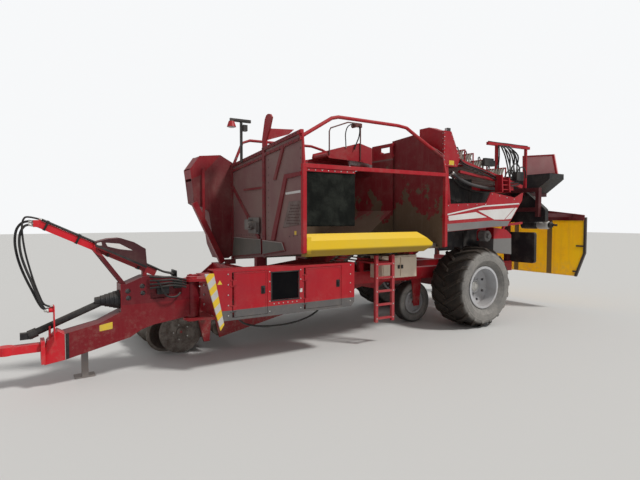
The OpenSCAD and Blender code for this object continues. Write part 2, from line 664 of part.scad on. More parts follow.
// Lower left side: panel frames, the rounded rear end and the fixed part with
// the screened window between the two doors
door1 = [4080, 4550];
door2 = [2950, 3550];
window = [3634, 4015];
skirt_slant = 120;
function skirt_edge(z) = skirt_front - skirt_slant * (skirt_z1 - z) / (skirt_z1 - skirt_z0);
module skirt_outline() {
    polygon([[skirt_front, skirt_z1], [skirt_edge(skirt_z0), skirt_z0], [skirt_rear + 60, skirt_z0],
        [skirt_rear, skirt_z0 + 60], [skirt_rear, skirt_z1]]);
}
module side_skirt() {
    color(red) place() {
        difference() {
            xz(skirt_y - panel_t, skirt_y) skirt_outline();
            for (d = [door1, door2]) block(d[0], d[1], skirt_y - panel_t - 1, skirt_y + 1, skirt_z0 + 30,
                skirt_z1 - 30);
            block(window[0], window[1], skirt_y - panel_t - 1, skirt_y + 1, skirt_z0 + 195, skirt_z1 - 70);
        }
        block(skirt_rear, skirt_front - 20, skirt_in, skirt_y, skirt_z1 - 12, skirt_z1);
        block(skirt_rear + 60, skirt_front - 130, skirt_in, skirt_y, skirt_z0, skirt_z0 + 12);
        for (x = [skirt_rear, door2[1] + 15, door1[0] - 35])
            block(x, x + 20, skirt_in, skirt_y - 1, skirt_z0 + 60, skirt_z1 - 1);
        for (x = [skirt_rear + 130, 3650, stock_x0])
            block(x, x + 90, skirt_in, skirt_in + 20, skirt_z0 + 1, skirt_z1 - 1);
        for (x = [window[0] + 20 : 60 : window[1] - 20])
            block(x, x + 8, skirt_y - 18, skirt_y - 10, skirt_z0 + 185, skirt_z1 - 60);
        for (d = [door1, door2]) door_lugs(d);
    }
}
hinge_r = 11;
hinge_h = 60;
hinge_pin_r = 5;
hinge_z = [skirt_z0 + 110, skirt_z1 - 190];
function hinge_pos(d) = [d[1] - 16, skirt_y + 2];
// Straps and pins on the frame, one above and one below each hinge barrel
module door_lugs(d) {
    h = hinge_pos(d);
    for (z = hinge_z) {
        translate([h[0], h[1], z - 10]) cylinder(r = hinge_pin_r, h = hinge_h + 20);
        for (k = [z - 12, z + hinge_h + 2]) {
            translate([h[0], h[1], k]) cylinder(r = hinge_r - 3, h = 10);
            block(h[0], d[1] + 20, skirt_y - 1, h[1] + 5, k, k + 10);
        }
    }
}
// Side door: panel, and the hinge barrels on its front edge
module side_door(d) {
    h = hinge_pos(d);
    color(red) place() difference() {
        union() {
            block(d[0] + pass_gap, d[1] - 27, skirt_y - panel_t, skirt_y, skirt_z0 + 30 + pass_gap,
                skirt_z1 - 30 - pass_gap);
            for (z = hinge_z) {
                translate([h[0], h[1], z]) cylinder(r = hinge_r, h = hinge_h);
                block(d[1] - 60, h[0], skirt_y - 1, h[1] + 6, z, z + hinge_h);
            }
        }
        translate([h[0], h[1], skirt_z0]) cylinder(r = hinge_pin_r + fit_gap, h = skirt_z1 - skirt_z0);
    }
}
module skirt_door_front() { side_door(door1); }
module skirt_door_rear() { side_door(door2); }

// Striped board at the front corner of the lower side panels
module warning_board() {
    z1 = skirt_z1 - 30;
    color(yellow) place() xz(skirt_y - 20, skirt_y)
        polygon([[skirt_edge(z1) + 0.3, z1], [skirt_edge(z1) + 110, z1], [skirt_edge(530) + 60, 530],
            [skirt_edge(600) + 0.3, 600]]);
}

// Rear left side: swept panel above the wheel and the box behind it
module side_panels() {
    color(red) place() {
        xz(skirt_y, skirt_y + panel_t) polygon([[930, 1652], [930, 2096], [-16, 2130], [-141, 2313],
            [-796, 2233],
            [-1017, 2328], [-989, 2187], [-592, 1728], [-259, 1721]]);
        xz(880, 1200) polygon([[-539, 1705], [-886, 1660], [-1035, 1565], [-1046, 1201], [-530, 1255]]);
        block(-880, -800, left_beam_y + beam_w - 1, 881, 1260, 1340);
        block(-880, -800, left_beam_y + 50, left_beam_y + beam_w, beam_top, 1340);
        xz(1150, 1190) polygon(bar([-885, 1745], [-1379, 1780], 40));
        xz(1150, 1190) polygon([[-800, 1600], [-760, 1600], [-860, 1765], [-905, 1765]]);
    }
}

// Head of the sorting belt: a tall hood that turns the crop into the bunker
hood_x = 800;
module elevator_head() {
    y0 = 680;
    y1 = table_y1;
    roof = [[y1, 3298], [y1 - 70, 3298], [905, 3400], [y0, 3400]];
    color(red) place() {
        yz(hood_x - 16, hood_x) polygon(concat([[y0, hood_z], [y1, hood_z]], roof));
        yz(625, hood_x) polygon(concat(roof, [[y0, 3384], [902, 3384], [y1 - 72, 3282], [y1, 3282]]));
        xz(y1 - 16, y1) polygon([[hood_x, hood_z], [hood_x, 3298], [625, 3298], [403, 2857], [481, hood_z]]);
        xz(y0, y0 + 16) polygon([[hood_x, deck_z + deck_t], [hood_x, 3400], [625, 3400], [403, 2857],
            [360, deck_z + deck_t]]);
        xz(y0, y1) polygon(bar([633, 3294], [411, 2853], 16));
        yz(625, 641) polygon(concat([[y0, 3270], [y1, 3270]], roof));
        block(350, 550, fill_y[0], y0 + 1, 2880, 2895);
        for (x = [350, 535]) block(x, x + 15, fill_y[0], y0 + 1, 2880, 3060);
    }
}

// Sorting table: two rails, the rollers between them, and the guard rails above
table_a = [400, 2834];
table_b = [-1290, 2455];
table_rail = 50;
function table_z(x) = mix(table_b[1], table_a[1], (x - table_b[0]) / (table_a[0] - table_b[0]));
module picking_table() {
    z0 = deck_z + deck_t;
    color(red) place() {
        for (y = [table_y0, table_y1 - table_rail]) {
            xz(y, y + table_rail) polygon(bar(table_a, table_b, 60));
            xz(y, y + table_rail) polygon(bar(table_a - [0, 180], table_b + [0, 5], 40));
        }
        for (x = [-1066, 230]) rod_y(x, table_z(x) - 20, table_y0 + 1, table_y1 - 1, 18);
        block(post_x[1], post_x[1] + 50, table_y1 - table_rail, table_y1, z0, table_z(post_x[1]));
        block(330, 380, table_y0 + 60, table_y0 + 110, z0, 2700);
        block(330, 380, table_y0, table_y0 + 110, 2640, 2700);
        for (x = [-976, post_x[2] + 20]) block(x, x + 36, 880, 930, z0, 3250);
        block(-1950, -695, 880, 930, 3232, 3285);
        table_brackets();
    }
}
// Ladder-like bracket on the outside of the lower rail
module table_brackets() {
    for (x = [-700, -500]) xz(table_y1 - 1, table_y1 + 150)
        polygon(bar([x, 2590 + (x + 700) * 0.22], [x - 20, 2330], 30));
    for (z = [2370, 2450, 2530]) block(-715, -490, table_y1 + 100, table_y1 + 130, z, z + 18);
}
// Rollers between the rails of the table
module table_rollers() {
    color(steel) place() for (x = [-1012 : 108 : 200])
        translate([x, table_y0 + table_rail, table_z(x) - 20]) rotate([-90, 0, 0])
            cylinder(r = 34, h = table_y1 - table_y0 - 2 * table_rail, $fn = 8);
}
// Black sheet that closes the side below the hood
module deck_sheet() {
    color(rubber) place() block(-160, post_x[0] + post_w, deck_y1, deck_y1 + 8, 2130, 2560);
}

// Rubber star rollers across the rear that lead the crop to the left
roller_count = 9;
star_r = 74;
star_pitch = 84;
module separator_rollers() {
    x0 = post_x[2] + post_w - 15;
    x1 = post_x[1] + 5;
    color(rubber) place() {
        for (i = [0 : roller_count - 1]) let (y = -1150 + i * 165) {
            rod_x(y, trough_z + 50, x0, x1, 40);
            for (x = [x0 + 30 : star_pitch : x1 - 60])
                translate([x, y, trough_z + 50]) rotate([0, 90, 0]) cylinder(r = star_r, h = 36, $fn = 7);
        }
        for (x = [x0, x1 - 15]) block(x, x + 15, -1230, 260, trough_z, trough_z + 70);
    }
}

// Rear cross conveyor in its black wedge
wedge_x = [-2600, -2120];
wedge_top = 2752;
module rear_conveyor() {
    color(dark) place() {
        yz(wedge_x[0], wedge_x[1]) polygon([[-120, wedge_top], [1251, wedge_top], [1253, 2645],
            [899, wedge_seat],
            [800, wedge_seat], [437, 2235], [340, 2150], [-120, 2150]]);
        for (y = [480 : 110 : 1140]) block(wedge_x[0] - 18, wedge_x[0] + 1, y, y + 30, 2620, wedge_top - 20);
    }
}
// Frame and sheet that stand on the conveyor and turn the crop forward
module deflector() {
    outer = [[459, 3190], [1162, 3147], [1245, wedge_top], [470, wedge_top]];
    color(dusty) place() {
        yz(-2410, -2398) polygon(outer);
        yz(-2425, -2385) difference() {
            polygon(outer);
            polygon([for (p = outer) mix(p, [850, 2950], 0.12)]);
        }
    }
}

// Drive motors: a cluster on the diagonal rib of the front wall, and one below
// the side panels
module drive_motors() {
    x0 = bunker_front + rib_t;
    color(dark) place() {
        block(x0, x0 + 12, -330, 70, 1630, 1880);
        block(x0 + 11, x0 + 90, -300, -150, 1690, 1850);
        rod_x(-40, 1760, x0 + 11, x0 + 120, 62);
        rod_x(-40, 1760, x0 + 119, x0 + 150, 40);
        block(x0 + 11, x0 + 60, 10, 60, 1650, 1800);
        rod_y(-340, 1555, motor_y, motor_y + 150, 88);
        rod_y(-340, 1555, motor_y + 149, motor_y + 190, 45);
    }
}
// Lamps: one on an arm above the front wall, one on the hood
module work_lamps() {
    y = -580;
    z = rim_z(y) - 55;
    color(dark) place() {
        block(bunker_front + rib_t, bunker_front + rib_t + 30, y - 25, y + 25, z, 3450);
        block(3400, 3760, y - 20, y + 20, 3440, 3490);
        block(3470, 3545, y - 40, y + 40, 3300, 3400);
        block(3540, bunker_front + rib_t + 1, y - 15, y + 15, 3340, 3370);
        translate([3735, y, 3350]) cylinder(r1 = 75, r2 = 45, h = 91);
        block(640, 710, table_y1 - 68, table_y1 - 4, 3298, 3352);
    }
}
// Service box behind the ladder
module service_box() {
    color(dusty) place() {
        block(1150, 1880, 700, 1000, 915, 1270);
        block(1170, 1500, 999, 1012, 940, 1245);
        block(1530, 1860, 999, 1012, 940, 1245);
    }
}

// Unloading end of the bunker, which tips up about its lower inner edge
tilt_y = head_y + 20;
tilt_pin_r = 25;
head_tube_y = mouth_y - head_tube / 2;
// How far the mouth's posts stand out before the end walls, and where they end inside
post_out = 15;
post_in = head_tube - post_out;
function tilt_z() = floor_z(head_y) - 40;
sill_d = 145;
// The rear wall laps behind the fixed one as far as this
rear_lap = 205;
arch_y = 1395;
arch_d = 50;
module head_outline(top) {
    polygon(concat([[head_y, under_z(head_y)], [mouth_y - 20, under_z(mouth_y)],
        [mouth_y, under_z(mouth_y) + 40],
        [mouth_y, mouth_top]], top));
}
module head_frame() {
    front_top = [[1440, rim_z(1440)], [head_y, rim_z(head_y)]];
    rear_edge = [[1400, 2890], [1234, 2990], [730, 3274], [rear_lap, 3240], [rear_lap, 1560], [head_y, 1560]];
    y1 = mouth_y - sill_d;
    color(maroon) place() difference() {
        union() {
            yz(head_front - bunker_t, head_front) head_outline(front_top);
            yz(head_rear, head_rear + bunker_t) head_outline(rear_edge);
            head_ribs();
            for (x = [head_rear - post_out, head_front - post_in])
                block(x, x + head_tube, mouth_y + 1 - head_tube, mouth_y + 1, under_z(mouth_y) + 12,
                    mouth_top + 1);
            block(head_rear - post_out, head_front + post_out, mouth_y - head_tube, mouth_y,
                mouth_top - head_tube / 2, mouth_top + head_tube / 2);
            for (x = [head_rear, head_front - bunker_t])
                yz(x - 1, x + bunker_t + 1) translate([tilt_y, tilt_z()]) circle(r = 60);
            bent_tube([[head_front - 5, arch_y, 2925], [3100, arch_y, 3215], [2990, arch_y, 3242],
                [1927, arch_y, 3235],
                [1756, arch_y, 3218], [head_rear + 10, arch_y, 2830]], arch_d, 12);
            yz(head_rear + bunker_t - 1, head_front - bunker_t + 1)
                polygon([[head_y + 75, under_z(head_y + 75)],
                [y1, under_z(y1)], [y1, under_z(y1) + bunker_t],
                    [head_y + 75, under_z(head_y + 75) + bunker_t]]);
        }
        rod_x(tilt_y, tilt_z(), head_rear - 50, head_front + 50, tilt_pin_r + fit_gap);
    }
}
module head_ribs() {
    yz(head_front - 1, head_front + rib_t) {
        polygon(bar([head_y, rim_z(head_y) - 25], [1440, rim_z(1440) - 25], 50));
        polygon(bar([head_y, rim_z(head_y) - 115], [1440, rim_z(1440) - 115], 40));
        polygon(bar([head_y + 50, rim_z(head_y)], [head_y + 50, 1540], 80));
        polygon([[650, 2414], [720, 2414], [985, 2855], [905, 2855]]);
        polygon([[560, 1550], [680, 1550], [1050, 2405], [1440, 2425], [1440, 2475], [985, 2468]]);
        polygon([[head_y + 5, 1545], [921, 1535], [999, 1419], [head_y + 5, 1318]]);
    }
    yz(head_rear - rib_t, head_rear + 1) {
        polygon(bar([rear_lap, 2965], [1236, 2965], 45));
        polygon(bar([1225, 2560], [1225, 2985], 50));
        polygon(bar([760, 2560], [760, 3240], 50));
    }
}
// Perforated sheet low on the front wall
grille_pitch = 40;
grille_hole = 13;
module head_grille() {
    color(steel) place() yz(head_front, head_front + 8) difference() {
        polygon([[1097, 2094], [1425, 2098], [1424, 1789], [920, 1738]]);
        for (i = [0 : 6], j = [0 : 10]) let (y = 1000 + j * grille_pitch + (i % 2) * grille_pitch / 2,
            z = 1800 + i * grille_pitch)
            if (y > 950 + (z - 1738) * 0.53 + 25 && y < 1400)
                translate([y, z]) circle(r = grille_hole, $fn = 6);
    }
}
module head_floor() {
    color(dark) place() moving_floor(head_y + 4, mouth_y - sill_d - 2, bunker_rear + bunker_t,
        bunker_front - bunker_t);
}
// Faceted sill of the mouth, cut to a point at its rear end
module head_sill() {
    z = under_z(mouth_y) - 45;
    y = mouth_y;
    color(yellow) place() intersection() {
        yz(head_rear + bunker_t, head_front - post_in) polygon([[y, z + 90], [y - 40, z], [y - sill_d, z],
            [y - sill_d, z + 280], [y - 75, z + 300], [y, z + 210]]);
        xz(y - 200, y + 50) polygon([[head_front, z - 10], [1450, z - 10], [1290, z + 80], [1280, z + 130],
            [1560, z + 310], [head_front, z + 310]]);
    }
}
module mouth_curtain() {
    y = head_tube_y;
    color(rubber) place() block(2760, head_front - post_in, y - 7, y + 7, 1760, mouth_top - head_tube / 2);
}

// Filling belt over the bunker, which can be lowered at its front end
fill_x = 620;
fill_z = 2880;
fill_y = [-1010, -480];
fill_pin_r = 20;
fill_end = 1950;
fill_side = [[fill_x - 60, fill_z - 50], [1193, 2935], [fill_end - 50, 2960], [fill_end, 3010],
    [fill_end - 20, 3087],
    [1220, 3282], [fill_x - 60, 3120]];
rail_x = [1208, 1951];
module filling_conveyor() {
    color(red) place() difference() {
        union() {
            for (y = [fill_y[0], fill_y[1] - 20]) xz(y, y + 20) polygon(fill_side);
            xz(fill_y[0], fill_y[1]) polygon(bar([fill_x, fill_z + 40], [fill_end - 60, 3020], 60));
            rod_y(fill_end - 62, 3020, fill_y[0] + 1, fill_y[1] - 1, 45);
            for (i = [1 : 9]) xz(fill_y[0] + 1, fill_y[1] - 1)
                polygon(bar(mix([fill_x, fill_z + 95], [fill_end - 60, 3075], i / 10),
                    mix([fill_x, fill_z + 40], [fill_end - 60, 3020], i / 10), 12));
        }
        rod_y(fill_x, fill_z, fill_y[0] - 1, fill_y[1] + 1, fill_pin_r + fit_gap);
    }
}
rail_top = 3640;
module conveyor_rails() {
    y = fill_y[1] + 12.8;
    color(dark) place() {
        bent_tube([[fill_end - 40, y, 3020], [fill_end - 40, y, 3440], [fill_end - 70, y, 3500],
            [1497, y, rail_top], [rail_x[0], y, rail_top]],
            25, 12);
        rod([rail_x[0], y, 2960], [rail_x[0], y, rail_top + 10], 25);
        rod_y(1340, rail_top - 45, y - 70, y + 70, 38);
        block(1180, 1400, y - 15, y + 15, rail_top - 70, rail_top + 5);
    }
}

// Drawbar: box beam that tapers to the coupling, with its pivot boss, the side
// plates for the drive line, the lug of the steering cylinder and the hose rack
beam_end = 6300;
beam_tip = 6500;
cup_h = 60;
rack_x = 6395;
arm_seat = 1180;
strut_seat = 1105;
plate_holes = [[5640, 1018], [5478, 1066], [5635, 937], [5473, 984]];
module drawbar_side() {
    polygon([[6527, 265], [6313, 312], [5624, 474], [5493, 553], [5347, 595], [pivot_x + 60, 650],
        [pivot_x + 60, 1040],
        [4985, 1040], [5028, 1121], [5344, 1171], [5400, arm_seat], [5460, arm_seat], [5650, strut_seat],
        [5720, strut_seat], [5720, 783], [5953, 676], [6312, 600], [6367, 637], [6473, 525]]);
}
module drawbar_plan() {
    y = drawbar_y;
    w = drawbar_w / 2;
    polygon([[pivot_x, y - boss_r + 5], [5100, y - w], [beam_end, y - w], [beam_tip, y - 70],
        [beam_tip, y + 70],
        [beam_end, y + w], [5100, y + w], [pivot_x, y + boss_r - 5]]);
}
module drawbar() {
    right = drawbar_y - drawbar_w / 2;
    color(red) place() difference() {
        union() {
            intersection() {
                xz(drawbar_y - drawbar_w, drawbar_y + drawbar_w) drawbar_side();
                xy(200, 1300) drawbar_plan();
            }
            translate([pivot_x, drawbar_y, yoke_z[0] + yoke_t / 2 + pass_gap])
                cylinder(r = boss_r, h = yoke_z[1] - yoke_z[0] - yoke_t - 2 * pass_gap);
            block(beam_tip - 10, beam_tip + 30, drawbar_y - 110, drawbar_y + 110, 290, 540);
            block(beam_tip + 20, hitch_x, drawbar_y - 55, drawbar_y + 55, hitch_z - 10, hitch_z + 75);
            translate([hitch_x, drawbar_y, hitch_z - 10]) cylinder(r = cup_r + cup_wall, h = cup_h + 30);
            for (z = [steer_z - 75, steer_z + 50]) xy(z, z + 25) hull() {
                translate(steer_eye) circle(r = 45, $fn = 32);
                translate([steer_eye[0] - 60, right]) square([120, 2]);
            }
            rod_y(stand_x, stand_z, right - 75, right + 1, stand_pin);
            block(6430, 6450, drawbar_y - 60, drawbar_y + 60, 500, 690);
            block(rack_x, rack_x + 12, drawbar_y + 55, drawbar_y + 185, 540, 925);
            for (y = rack_y) rod_x(y, rack_z, rack_x + 11, rack_x + 55, 22);
        }
        translate([pivot_x, drawbar_y, 500]) cylinder(r = pivot_r + fit_gap, h = 700);
        translate([hitch_x, drawbar_y, hitch_z - 20]) cylinder(r = cup_r, h = cup_h + 10);
        for (h = plate_holes) rod_y(h[0], h[1], drawbar_y - 200, drawbar_y + 200, 30);
        block(5171, 5388, drawbar_y + drawbar_w / 2 - 25, drawbar_y + drawbar_w, 905, 980);
    }
}
// Arm that carries the hoses to the tractor, with its strut and tool cover
arm_a = [5300, 1204];
arm_b = [6530, 1815];
module hose_arm() {
    y = drawbar_y;
    color(red) place() {
        xz(y - 35, y + 35) polygon(bar(arm_a, arm_b, 80));
        block(5405, 5455, y - 35, y + 35, arm_seat, 1240);
        for (k = [y - 90, y + 65]) xz(k, k + 25)
            polygon([[5655, strut_seat], [5710, strut_seat], [6030, 1560], [5975, 1560]]);
        rod_y(5985, 1535, y - 100, y + 100, 20);
        block(arm_b[0] - 20, arm_tip_x, y - 45, y + 45, arm_b[1] - 40, arm_b[1] + 35);
        xz(y - 115, y + 115) polygon([[5990, 1545], [5978, 1598], [5832, 1634], [5707, 1641],
            [5560, 1590], [5430, 1507],
            [5414, 1262]]);
        xz(y - 119, y + 119) polygon(bar([5986, 1572], [5420, 1285], 24));
    }
}
// Drive shaft in its guard, with the yoke for the tractor's stub
pto_r = 17.5;
pto_z = 915;
pto_yoke_z = 600;
pto_ribs = 5;
module pto_shaft() {
    y = drawbar_y;
    cone = [for (i = [0 : pto_ribs - 1]) let (r = 112 - i * 13, x = i * 46) each [[r, x], [r, x + 16],
        [r - 8, x + 18], [r - 12, x + 45]]];
    color(dark) place() difference() {
        union() {
            translate([5720, y, pto_z]) rotate([0, 90, 0]) rotate_extrude()
                polygon(concat([[0, 0]], cone, [[44, 262], [0, 262]]));
            rod([5900, y, pto_z - 15], [6600, y, pto_yoke_z + 18], 76);
            rod([6560, y, pto_yoke_z + 32], [6640, y, pto_yoke_z + 3], 100);
            block(6600, 6720, y - 35, y + 35, pto_yoke_z - 34, pto_yoke_z + 34);
        }
        rod_x(y, pto_yoke_z, 6640, 6721, pto_r);
    }
}
// Swing-down parking stand at the drawbar's right side
stand_z = 560;
stand_pin = 22;
foot_t = 14;
module parking_stand() {
    y1 = drawbar_y - drawbar_w / 2 - pass_gap;
    color(steel) place() difference() {
        union() {
            block(stand_x - 35, stand_x + 35, y1 - 70, y1, foot_t - 1, stand_z + 45);
            block(stand_x - 110, stand_x + 110, y1 - 160, y1, 0, foot_t);
        }
        rod_y(stand_x, stand_z, y1 - 71, y1 + 1, stand_pin + fit_gap);
    }
}

// Steering cylinder between the head stock and the drawbar
steer_z = 1020;
steer_base = [4720, 330];
steer_eye = [5400, drawbar_y - drawbar_w / 2 - 75];
steer_pin_r = 20;
steer_d = 85;
module along_steer() {
    v = steer_eye - steer_base;
    translate([steer_base[0], steer_base[1], steer_z]) rotate(atan2(v[1], v[0])) rotate([0, 90, 0])
        children();
}
steer_len = norm(steer_eye - steer_base);
module steering_barrel() {
    color(dark) place() difference() {
        union() {
            along_steer() translate([0, 0, 30]) cylinder(d = steer_d, h = steer_len - 250);
            translate([steer_base[0], steer_base[1], steer_z - 45]) cylinder(r = 40, h = 90);
        }
        translate([steer_base[0], steer_base[1], steer_z - 100]) cylinder(r = steer_pin_r + fit_gap, h = 200);
        along_steer() translate([0, 0, 120]) cylinder(r = 22 + fit_gap, h = steer_len);
    }
}
module steering_rod() {
    color(steel) place() {
        along_steer() translate([0, 0, steer_len - 400]) cylinder(r = 22, h = 372);
        translate([steer_eye[0], steer_eye[1], steer_z - 40]) cylinder(r = 36, h = 80);
    }
}

// Hoses from the arm's tip, round a free bow, to the couplers on the rack
arm_tip_x = 6570;
hose_d = 26;
rack_y = [890, 955];
rack_z = 880;
hose_upper_route = [[6570, 785, 1830], [6620, 785, 1836], [6680, 788, 1812], [6725, 795, 1740],
    [6740, 805, 1620],
    [6725, 820, 1480], [6690, 838, 1340], [6640, 855, 1200], [6590, 870, 1080], [6550, 882, 980],
        [6512, 888, 910],
    [6475, 890, 884], [6450, 890, 880]];
hose_lower_route = [[6570, 815, 1795], [6610, 815, 1800], [6655, 820, 1780], [6690, 832, 1710],
    [6700, 850, 1600],
    [6685, 872, 1470], [6650, 895, 1340], [6605, 915, 1210], [6565, 932, 1090], [6530, 945, 990],
        [6500, 952, 920],
    [6472, 955, 886], [6450, 955, 880]];
function curve_at(p, i, t) = let (n = len(p) - 1, a = p[max(i - 1, 0)], b = p[i], c = p[i + 1],
    d = p[min(i + 2, n)])
    b + (c - a) * t / 2 + (2 * a - 5 * b + 4 * c - d) * t * t / 2 + (3 * b - a - 3 * c + d) * t * t * t / 2;
function route(p, k) = concat([for (i = [0 : len(p) - 2], j = [0 : k - 1]) curve_at(p, i, j / k)],
    [p[len(p) - 1]]);
module hose(points) { bent_tube(route(points, 2), hose_d, 10, [1, 0, 0], [-1, 0, 0]); }
module hose_upper() { color(dark) place() hose(hose_upper_route); }
module hose_lower() { color(dark) place() hose(hose_lower_route); }

// Ladder, hinged at the top of its rear rail
ladder_x = [1980, 2290];
ladder_y = 1380;
ladder_t = 44;
ladder_z = 1275;
ladder_pin_r = 12;
ladder_z0 = 340;
module ladder() {
    color(red) place() difference() {
        union() {
            for (x = ladder_x) block(x - 25, x + 25, ladder_y - ladder_t, ladder_y, ladder_z0, ladder_z + 50);
            for (i = [0 : ladder_steps - 1]) let (z = mix(ladder_z0 + 40, ladder_z - 95,
                i / (ladder_steps - 1)))
                block(ladder_x[0], ladder_x[1], ladder_y - ladder_t, ladder_y, z, z + 30);
        }
        rod_y(ladder_x[0], ladder_z, ladder_y - ladder_t - 1, ladder_y + 1, ladder_pin_r + fit_gap);
    }
}

// Curtain frame at the rear, hung from two pins
hanger_gap = 6;
hanger_t = 24;
curtain_pin_r = 15;
curtain_beam = [1840, 1888];
module curtain_frame() {
    beam_y = [-1465, 1485];
    color(dark) place() difference() {
        union() {
            block(curtain_x - 25, curtain_x + 25, beam_y[0], beam_y[1], curtain_beam[0], curtain_beam[1]);
            for (m = [[beam_y[1] - 20, 1], [beam_y[0] + 20, -1]]) yz(curtain_x - 25, curtain_x + 25) {
                polygon(bar([m[0], curtain_beam[0] + 1], [m[0], 1150], 40));
                polygon([[m[0] + 20 * m[1], 1162], [m[0] - 20 * m[1], 1162], [m[0] - 200 * m[1], 670],
                    [m[0] - 158 * m[1], 664]]);
                polygon(bar([m[0] - 4 * m[1], 1300], [m[0] - 175 * m[1], 1300], 30));
                polygon(bar([m[0] - 130 * m[1], 770], [m[0] - 235 * m[1], 770], 30));
            }
            for (y = rear_arm_y) let (h = y + 70 + hanger_gap) {
                block(curtain_x - 30, curtain_x + 30, h, h + hanger_t, curtain_beam[1] - 1, curtain_z);
                rod_y(curtain_x, curtain_z, h, h + hanger_t, 30);
            }
        }
        for (y = rear_arm_y) rod_y(curtain_x, curtain_z, y + 70, y + 72 + hanger_gap + hanger_t,
            curtain_pin_r + fit_gap);
    }
}
slat_y = [-1180, -877, -468, -57, 352, 762];
module rear_curtain() {
    color(tarp) place() {
        yz(curtain_x - 12, curtain_x + 12)
            polygon([[-1270, curtain_beam[0]], [1270, curtain_beam[0]], [1201, 655], [-1201, 655]]);
        for (y = slat_y) block(curtain_x + 11, curtain_x + 26, y, y + 116, 1050, 1350);
    }
}

// Lifting unit: side arms on the lift pivots, cross tube, roller and disc arms
row_y = [channel_mid + row_pitch / 2, channel_mid - row_pitch / 2];
roller_x = 5030;
disc_x = 4850;
lift_pin_r = 20;
axle_pin_r = 18;
arm_t = 20;
roller_w = 285;
roller_z = roller_r + 40;
disc_z = disc_r + 25;
disc_y = [channel_left - 30, channel_mid, channel_right + 30];
disc_arm_y = [disc_y[0] - 25 - arm_t, disc_y[1] - 25 - arm_t, disc_y[2] + 25];
share_top = 198;
lift_beam = [590, 680];
module lift_frame() {
    z0 = lift_beam[0];
    z1 = lift_beam[1];
    color(red) place() {
        for (y = [channel_left + 40, channel_right - 80]) difference() {
            xz(y, y + 40) polygon([[lift_x - 50, lift_z - 40], [lift_x - 50, lift_z + 40],
                [lift_x + 50, lift_z + 40],
                [roller_x + 60, z1], [roller_x + 60, z0], [4640, 500], [4560, 160], [4480, 160],
                    [4450, 520]]);
            rod_y(lift_x, lift_z, y - 1, y + 41, lift_pin_r + fit_gap);
        }
        block(roller_x - 40, roller_x + 60, channel_right - 80, channel_left + 80, z0, z1);
        block(4480, 4545, channel_right - 41, channel_left + 41, share_top, share_top + 52);
        for (y = row_y) {
            for (k = [y - roller_w - pass_gap - arm_t, y + roller_w + pass_gap])
                block(roller_x - 30, roller_x + 30, k, k + arm_t, roller_z - 30, z0 + 1);
            rod_y(roller_x, roller_z, y - roller_w - pass_gap - 1, y + roller_w + pass_gap + 1, axle_pin_r);
        }
        for (i = [0 : 2]) {
            xz(disc_arm_y[i], disc_arm_y[i] + arm_t)
                polygon(bar([roller_x + 10, z0 + 45], [disc_x, disc_z], 60));
            rod_y(disc_x, disc_z, min(disc_arm_y[i], disc_y[i] - 19),
                max(disc_arm_y[i] + arm_t, disc_y[i] + 19), axle_pin_r);
        }
    }
}
module shares() {
    color(steel) place() for (y = row_y)
        xz(y - 330, y + 330) polygon([[4800, 90], [4545, 182], [4490, 182], [4490, share_top],
            [4545, share_top]]);
}
// Ridge roller: two flared rims on a waisted hub
module ridge_roller(y) {
    color(dark) place() translate([roller_x, y, roller_z]) rotate([-90, 0, 0]) difference() {
        for (m = [0, 1]) mirror([0, 0, m]) rotate_extrude()
            polygon([[0, 0], [90, 0], [110, 60], [roller_r - 20, 250],
            [roller_r, 262], [roller_r, roller_w], [roller_r - 40, roller_w], [60, 150], [0, 150]]);
        translate([0, 0, -200]) cylinder(r = axle_pin_r + fit_gap, h = 400);
    }
}
module ridge_roller_left() { ridge_roller(row_y[0]); }
module ridge_roller_right() { ridge_roller(row_y[1]); }
module disc(y) {
    color(steel) place() translate([disc_x, y, disc_z]) rotate([-90, 0, 0]) difference() {
        union() {
            translate([0, 0, -5]) cylinder(r = disc_r, h = 10);
            translate([0, 0, -20]) cylinder(r = 60, h = 40);
        }
        translate([0, 0, -21]) cylinder(r = axle_pin_r + fit_gap, h = 42);
    }
}
module disc_left() { disc(disc_y[0]); }
module disc_middle() { disc(disc_y[1]); }
module disc_right() { disc(disc_y[2]); }

main_frame();
axle_beam();
rear_frame();
web_channel();
webs();
bunker_walls();
bunker_floor();
bunker_nose();
side_skirt();
warning_board();
side_panels();
elevator_head();
picking_table();
separator_rollers();
rear_conveyor();
deflector();
table_rollers();
deck_sheet();
nose_bay();
drive_motors();
work_lamps();
service_box();
head_frame();
head_grille();
head_floor();
head_sill();
mouth_curtain();
filling_conveyor();
conveyor_rails();
drawbar();
hose_arm();
pto_shaft();
parking_stand();
steering_barrel();
steering_rod();
hose_upper();
hose_lower();
skirt_door_front();
skirt_door_rear();
ladder();
curtain_frame();
rear_curtain();
lift_frame();
shares();
ridge_roller_left();
ridge_roller_right();
disc_left();
disc_middle();
disc_right();
tyre_left();
rim_left();
tyre_right();
rim_right();
support_tyre();
support_rim();
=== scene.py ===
"""A towed two-row potato harvester with a tipping side bunker, as it stands on its parking stand.

Lengths are in metres, with X forward, Y to the left and Z up from the ground.
"""
import math

